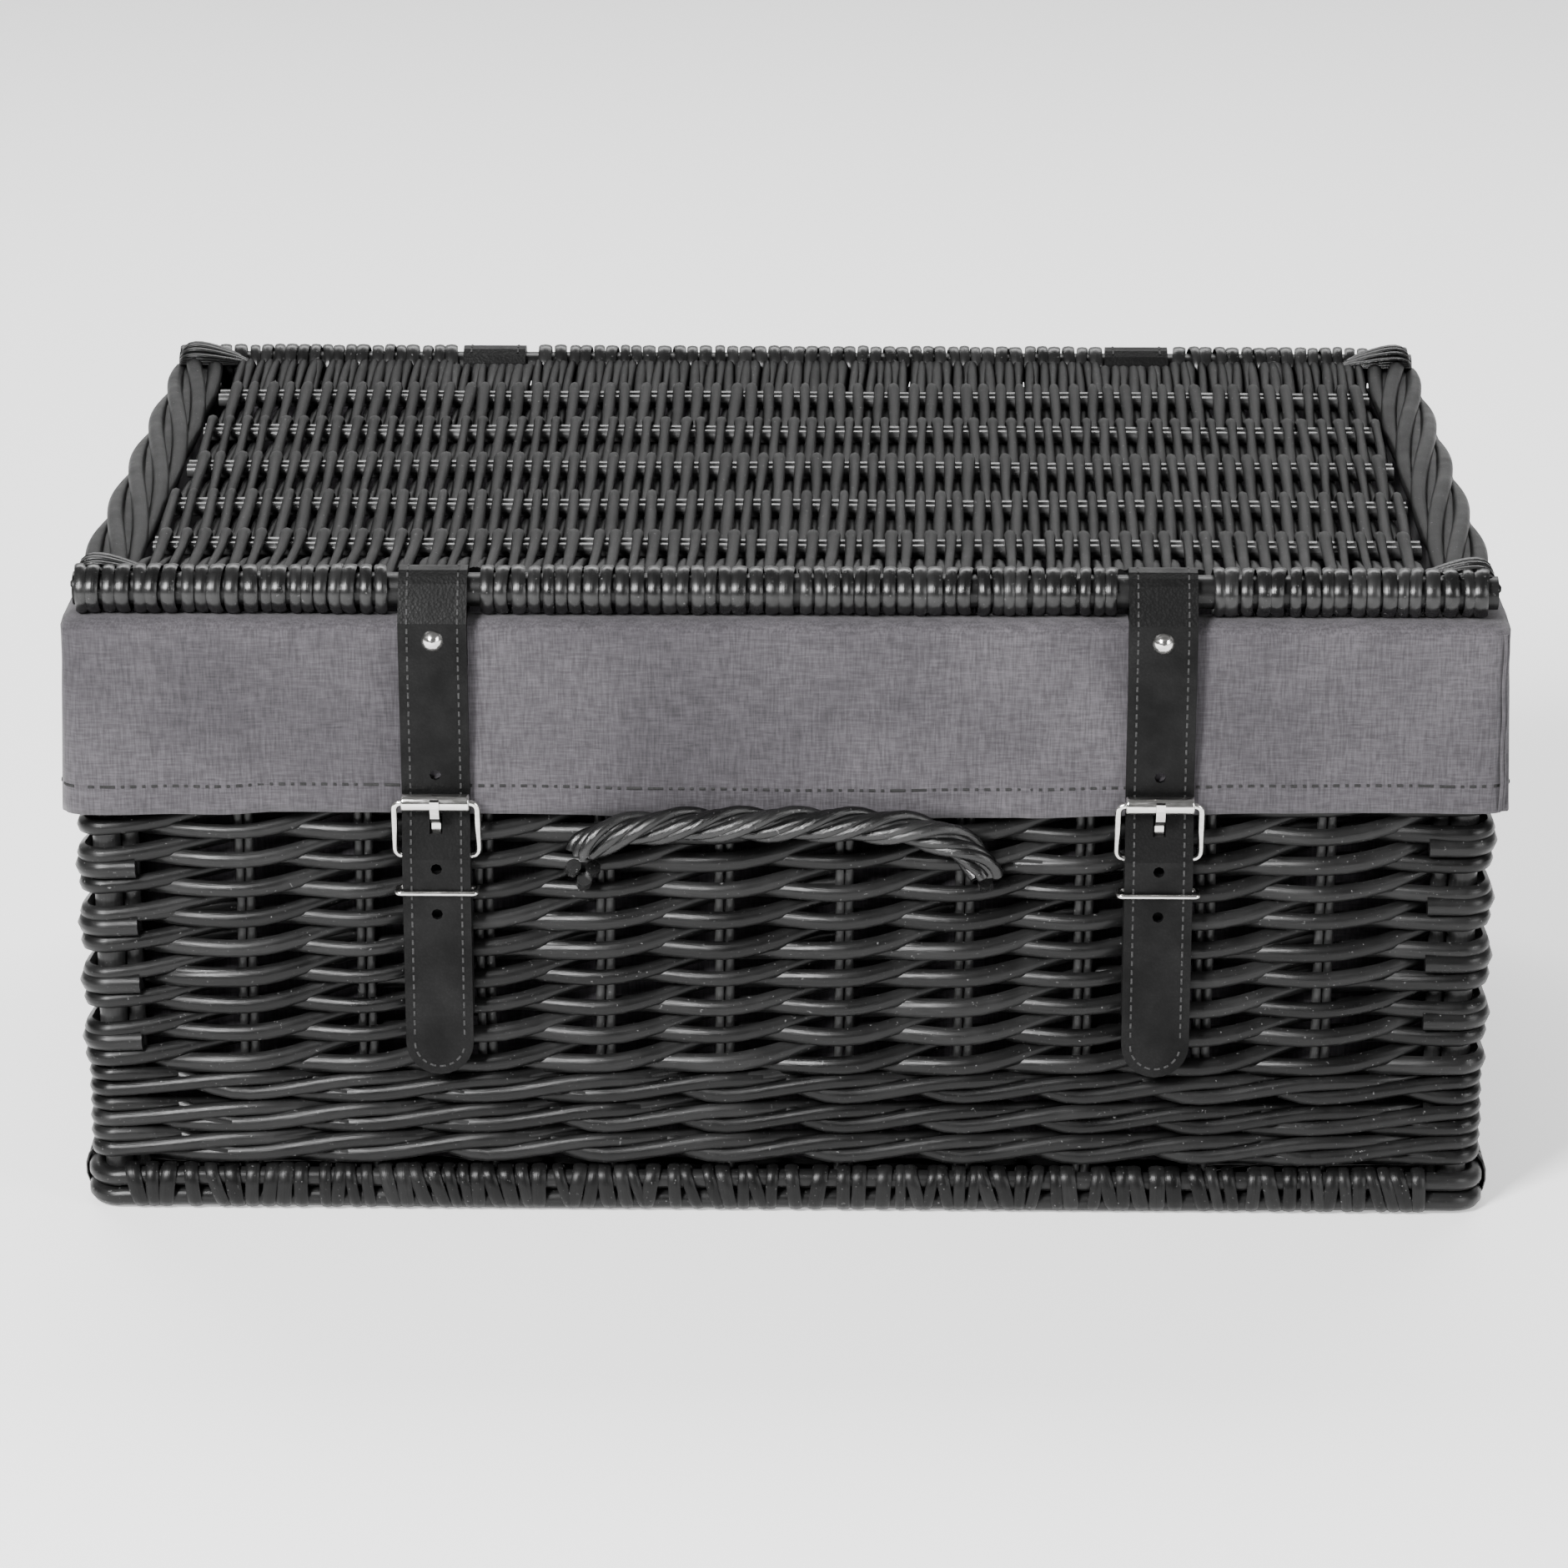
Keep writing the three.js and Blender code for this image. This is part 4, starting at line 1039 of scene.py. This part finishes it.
def stitch(rods, surface, rays):
    """Dashes of thread where rays (start, direction) meet the leather, one after another."""
    line = []
    for start, direction in rays:
        place, normal, _, _ = surface.ray_cast(Vector(start), Vector(direction))
        if place is None:
            continue
        point = place + normal * THREAD * 0.25
        if not line or (point - line[-1][0]).length > 0.02 * MM:
            line.append((point, normal))
    length, path, out = 0.0, [], None
    for (a, normal), (b, _) in zip(line, line[1:]):
        gap = (b - a).length
        if gap < STITCH_BREAK and length % STITCH_PITCH < STITCH_DASH:
            path.append(tuple(a))
            out = out or tuple(normal)
        else:
            if len(path) > 2:
                rods.add(path, THREAD * 0.7, THREAD, out, 6)
            path, out = [], None
        length += gap


RAY_START = 0.25  # outside the basket's front and back


def rays_round(x, y, z, side, start, end, count=120):
    """Rays towards a lid rod's axis from all round it, as angles from level on that side."""
    found = []
    for angle in np.linspace(math.radians(start), math.radians(end), count):
        out = (0, side * math.cos(angle), math.sin(angle))
        found.append(((x, y + 20 * MM * out[1], z + 20 * MM * out[2]), (0, -out[1], -out[2])))
    return found


def rays_down(x, side, top, bottom, count=500):
    """Rays towards the basket from one side, from a height down to another."""
    return [((x, side * RAY_START, z), (0, -side, 0)) for z in np.linspace(top, bottom, count)]


STRAP_TIP_RADIUS = 11 * MM
HINGE_FOOT_HALF = 8.6 * MM
BUCKLE_LOOP = 5 * MM  # from a short strap's top to where its stitches start
ROW_END = 3 * MM  # from a strap's lower edge to where its rows of stitches end
BELOW_ROD = LID_Z - 5 * MM


def row_places(name):
    """How far left and right of a strap's middle its two rows of stitches run."""
    low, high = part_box(name)
    half = (high[0] - low[0]) / 2 - STITCH_INSET
    return -half, half


def strap_stitches(side):
    """Two rows down a long strap, joined round its tip."""
    name = "strap_" + side
    surface = surface_of(name)
    rods = Rods()
    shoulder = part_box(name)[0][2] + STRAP_TIP_RADIUS
    for shift in row_places(name):
        x = STRAP_X[side] + shift
        down = rays_down(x, -1, BELOW_ROD, shoulder)
        stitch(rods, surface, rays_round(x, -LID_ROD_Y, LID_Z, -1, 150, -20) + down)
    arc = []
    for angle in np.linspace(math.pi, 2 * math.pi, 80):
        x = STRAP_X[side] + shift * math.cos(angle)
        z = shoulder + (STRAP_TIP_RADIUS - STITCH_INSET) * math.sin(angle)
        arc.append(((x, -RAY_START, z), (0, 1, 0)))
    stitch(rods, surface, arc)
    rods.make("strap_stitches_" + side, LEATHER_THREAD, name, "leather")


def hinge_stitches():
    """Two rows down each hinge strap and one across its foot."""
    rods = Rods()
    for side in SIDES:
        name = "hinge_strap_" + side
        surface = surface_of(name)
        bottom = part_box(name)[0][2]
        for shift in row_places(name):
            x = HINGE_X[side] + shift
            down = rays_down(x, 1, BELOW_ROD, bottom + ROW_END)
            stitch(rods, surface, rays_round(x, LID_ROD_Y, LID_Z, 1, 125, -20) + down)
        across = np.linspace(-HINGE_FOOT_HALF, HINGE_FOOT_HALF, 60)
        z = bottom + STITCH_INSET
        stitch(rods, surface, [((HINGE_X[side] + t, RAY_START, z), (0, -1, 0)) for t in across])
    rods.make("hinge_stitches", LEATHER_THREAD, "basket", "leather")


def buckle_leather_stitches():
    """Two rows down each short buckle strap."""
    rods = Rods()
    for side in SIDES:
        name = "buckle_strap_" + side
        low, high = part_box(name)
        for shift in row_places(name):
            rays = rays_down(STRAP_X[side] + shift, -1, high[2] - BUCKLE_LOOP, low[2] + ROW_END)
            stitch(rods, surface_of(name), rays)
    rods.make("buckle_leather_stitches", LEATHER_THREAD, "basket", "leather")


for side in SIDES:
    dress("strap_" + side, LEATHER, 0.5 * MM)
    dress("hinge_strap_" + side, LEATHER, 0.5 * MM)
    dress("buckle_strap_" + side, LEATHER, 0.4 * MM)
for side in SIDES:
    strap_stitches(side)
hinge_stitches()
buckle_leather_stitches()

# ---- metal

WIRE = 1.1 * MM
WIRE_BEND = 3.0 * MM
KEEPER_WIRE = 0.8 * MM
KEEPER_BEND = 1.6 * MM
ROLLER_ROUNDING = ((0, 0.78), (0.12, 0.9), (0.35, 0.98), (0.8, 1))  # millimetres from an end, share of radius


def wire_loop(rods, corners, bend, wire, up):
    """A closed loop of wire with rounded corners."""
    path = []
    corners = [np.array(c, float) for c in corners]
    for before, corner, after in zip(corners[-1:] + corners[:-1], corners, corners[1:] + corners[:1]):
        a = corner + (before - corner) / np.linalg.norm(before - corner) * bend
        b = corner + (after - corner) / np.linalg.norm(after - corner) * bend
        for t in np.linspace(0, 1, 8):
            path.append((1 - t) ** 2 * a + 2 * t * (1 - t) * corner + t * t * b)
    rods.add(path, wire, wire, up, 14, closed=True)


def buckle_frame(side):
    """The wire loop that the roller and the prong turn on."""
    low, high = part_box("buckle_frame_" + side)
    left, right = low[0] + WIRE, high[0] - WIRE
    rods = Rods()
    corners = [(left, *HEEL), (right, *HEEL), (right, *ROLLER), (left, *ROLLER)]
    wire_loop(rods, corners, WIRE_BEND, WIRE, (0, -1, 0))
    rods.make("buckle_frame_smooth_" + side, METAL, "buckle_" + side, "nickel", ("buckle_frame_" + side,))


def roller(side):
    """The tube on the loop's upper wire, eased at both ends."""
    low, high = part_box("roller_" + side)
    radius = (high[2] - low[2]) / 2
    profile = [(low[0] + d * MM, radius * share) for d, share in ROLLER_ROUNDING]
    profile += [(high[0] - d * MM, radius * share) for d, share in reversed(ROLLER_ROUNDING)]
    sizes = [size for _, size in profile]
    rods = Rods()
    rods.add([(x, *ROLLER) for x, _ in profile], sizes, sizes, UP, 28)
    rods.make("roller_smooth_" + side, METAL, "roller_" + side, "nickel", ("roller_" + side,))


def keeper(side):
    """The wire loop that holds the long strap down."""
    low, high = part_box("keeper_" + side)
    left, right = low[0] + KEEPER_WIRE, high[0] - KEEPER_WIRE
    front, back = low[1] + KEEPER_WIRE, high[1] - KEEPER_WIRE
    rods = Rods()
    corners = [(x, y, KEEPER_Z) for x, y in ((left, front), (right, front), (right, back), (left, back))]
    wire_loop(rods, corners, KEEPER_BEND, KEEPER_WIRE, UP)
    rods.make("keeper_smooth_" + side, METAL, "basket", "nickel", ("keeper_" + side,))


RIVET_PROFILE = (  # share of the way out, share of the radius
    (0, 0.38), (0.30, 0.38), (0.31, 1), (0.42, 1), (0.62, 0.88), (0.80, 0.66), (0.93, 0.36), (1, 0.05),
)


def rivet(name, side, body, is_front):
    """A rivet's shank and domed cap."""
    node = f"{name}_{side}"
    low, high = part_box(node)
    x, _, z = middle(node)
    inner, outer = (high[1], low[1]) if is_front else (low[1], high[1])
    path = [(x, inner + (outer - inner) * t, z) for t, _ in RIVET_PROFILE]
    sizes = [(high[0] - low[0]) / 2 * share for _, share in RIVET_PROFILE]
    rods = Rods()
    rods.add(path, sizes, sizes, UP, 28)
    rods.make(f"{name}_smooth_{side}", METAL, body, "nickel", (node,))


for side in SIDES:
    buckle_frame(side)
    roller(side)
    keeper(side)
    dress("prong_" + side, METAL, 0.35 * MM)
for side in SIDES:
    rivet("strap_rivet", side, "strap_" + side, True)
for side in SIDES:
    rivet("buckle_rivet", side, "basket", True)
for side in SIDES:
    rivet("hinge_rivet", side, "basket", False)

# ---- handle

HANDLE_LOW, HANDLE_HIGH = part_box("front_handle")
HANDLE_Y, HANDLE_END_Z = joint_at["handle_swing"][1:]
HANDLE_RADIUS = (HANDLE_HIGH[1] - HANDLE_LOW[1]) / 2
HANDLE_TOP = HANDLE_HIGH[2] - HANDLE_RADIUS
HANDLE_REACH = HANDLE_HIGH[0] - HANDLE_RADIUS
STRANDS = 3
SPLINTS = 3  # thin rods that make up a strand
SPLINT_RADIUS = HANDLE_RADIUS * 0.31
STRAND_OFFSET = HANDLE_RADIUS * 0.46
SPLINT_OFFSET = HANDLE_RADIUS * 0.22
STRAND_TURN = 54 * MM
LEFT_END_LIFT = 7 * MM
END_ROD = 2.5 * MM
END_RODS_MM = ((-3.2, 1.5), (3.0, 1.0), (0.2, -3.0))  # across and up from an end of the handle


def handle_axis(t):
    """A point on the handle's middle line, t from -1 to 1. The left end runs into the wall higher up."""
    x = HANDLE_REACH * math.sin(t * math.pi / 2)
    share = min(1, abs(x) / HANDLE_REACH)
    low = HANDLE_END_Z + (LEFT_END_LIFT if x < 0 else 0)
    return np.array((x, HANDLE_Y, low + (HANDLE_TOP - low) * (1 - share ** 4) ** 0.6))


def front_handle():
    """A rope of three strands, and the rods that hold it at each end of it."""
    rods = Rods()
    steps = np.linspace(-1, 1, 150)
    axis = np.array([handle_axis(t) for t in steps])
    along = np.gradient(axis, axis=0)
    along /= np.linalg.norm(along, axis=1)[:, None]
    out = np.array((0.0, -1.0, 0.0))
    across = np.cross(along, out)
    for strand in range(STRANDS):
        turn = -2 * math.pi * lengths_along(axis) / STRAND_TURN + 2 * math.pi * strand / STRANDS
        radial = out * np.cos(turn)[:, None] + across * np.sin(turn)[:, None]
        sideways = np.cross(along, radial)
        for splint in range(SPLINTS):
            swing = 2 * math.pi * splint / SPLINTS + 0.5
            path = axis + radial * (STRAND_OFFSET + SPLINT_OFFSET * math.cos(swing))
            path = path + sideways * SPLINT_OFFSET * math.sin(swing)
            rods.add(path, SPLINT_RADIUS, SPLINT_RADIUS, radial, 10)
    rods.make("handle_strands", HANDLE_WILLOW, "handle", "handle_willow", ("front_handle",))
    ends = Rods()
    for sign in (-1, 1):
        for across, up in END_RODS_MM:
            start = np.array((sign * HANDLE_REACH + across * MM, HANDLE_Y + 3 * MM, HANDLE_END_Z + up * MM))
            end = start + np.array((sign * 2, 16, -5)) * MM
            path = curve_through([start, end], [(0, 0.7, -0.7), (0, 1, 0)])
            ends.add(path, END_ROD, END_ROD, UP, 10)
    ends.make("handle_ends", HANDLE_WILLOW, "basket", "willow")


front_handle()

# ---- floor and light

FLOOR_GLOW = 0.55
FLOOR_GREY = 0.93
FLOOR_HALF_DEPTH = 4.0
FLOOR_HALF_WIDTH = 8.0
BACKDROP_BEND = 1.5
BACKDROP_TOP = 5.0
WORLD_STRENGTH = 0.2
AIM = (0, 0, 0.1)


def floor():
    """A pale floor that curves up into a backdrop well behind the basket."""
    profile = [(-FLOOR_HALF_DEPTH, 0.0)]
    for angle in np.linspace(0, math.pi / 2, 13):
        back = FLOOR_HALF_DEPTH + BACKDROP_BEND * math.sin(angle)
        profile.append((back, BACKDROP_BEND * (1 - math.cos(angle))))
    profile.append((FLOOR_HALF_DEPTH + BACKDROP_BEND, BACKDROP_TOP))
    points = [(x, y, z) for y, z in profile for x in (-FLOOR_HALF_WIDTH, FLOOR_HALF_WIDTH)]
    faces = [(2 * i, 2 * i + 1, 2 * i + 3, 2 * i + 2) for i in range(len(profile) - 1)]
    mesh = bpy.data.meshes.new("floor")
    mesh.from_pydata(points, [], faces)
    mesh.shade_smooth()
    material, _, shader = new_material("floor", roughness=0.75, specular=0.2)
    shader.inputs["Base Color"].default_value = (FLOOR_GREY, FLOOR_GREY, FLOOR_GREY, 1)
    shader.inputs["Emission Color"].default_value = (1, 1, 1, 1)
    shader.inputs["Emission Strength"].default_value = FLOOR_GLOW
    mesh.materials.append(material)
    piece = bpy.data.objects.new("floor", mesh)
    bpy.context.collection.objects.link(piece)


def lamp(name, place, size, watts):
    """A soft rectangular light that points at the basket."""
    data = bpy.data.lights.new(name, "AREA")
    data.shape = "RECTANGLE"
    data.size, data.size_y = size
    data.energy = watts
    light = bpy.data.objects.new(name, data)
    light.location = place
    light.rotation_euler = (Vector(AIM) - Vector(place)).to_track_quat("-Z", "Y").to_euler()
    bpy.context.collection.objects.link(light)


def studio():
    """A dim white surround and three soft lights."""
    world = bpy.data.worlds.new("studio")
    world.use_nodes = True
    background = world.node_tree.nodes["Background"]
    background.inputs["Color"].default_value = (1, 1, 1, 1)
    background.inputs["Strength"].default_value = WORLD_STRENGTH
    bpy.context.scene.world = world
    lamp("key", (-1.1, -1.7, 1.5), (0.6, 0.8), 135)
    lamp("fill", (1.9, -1.3, 0.9), (0.8, 1.2), 30)
    lamp("top", (0.0, 1.3, 1.9), (2.6, 0.7), 60)


floor()
studio()
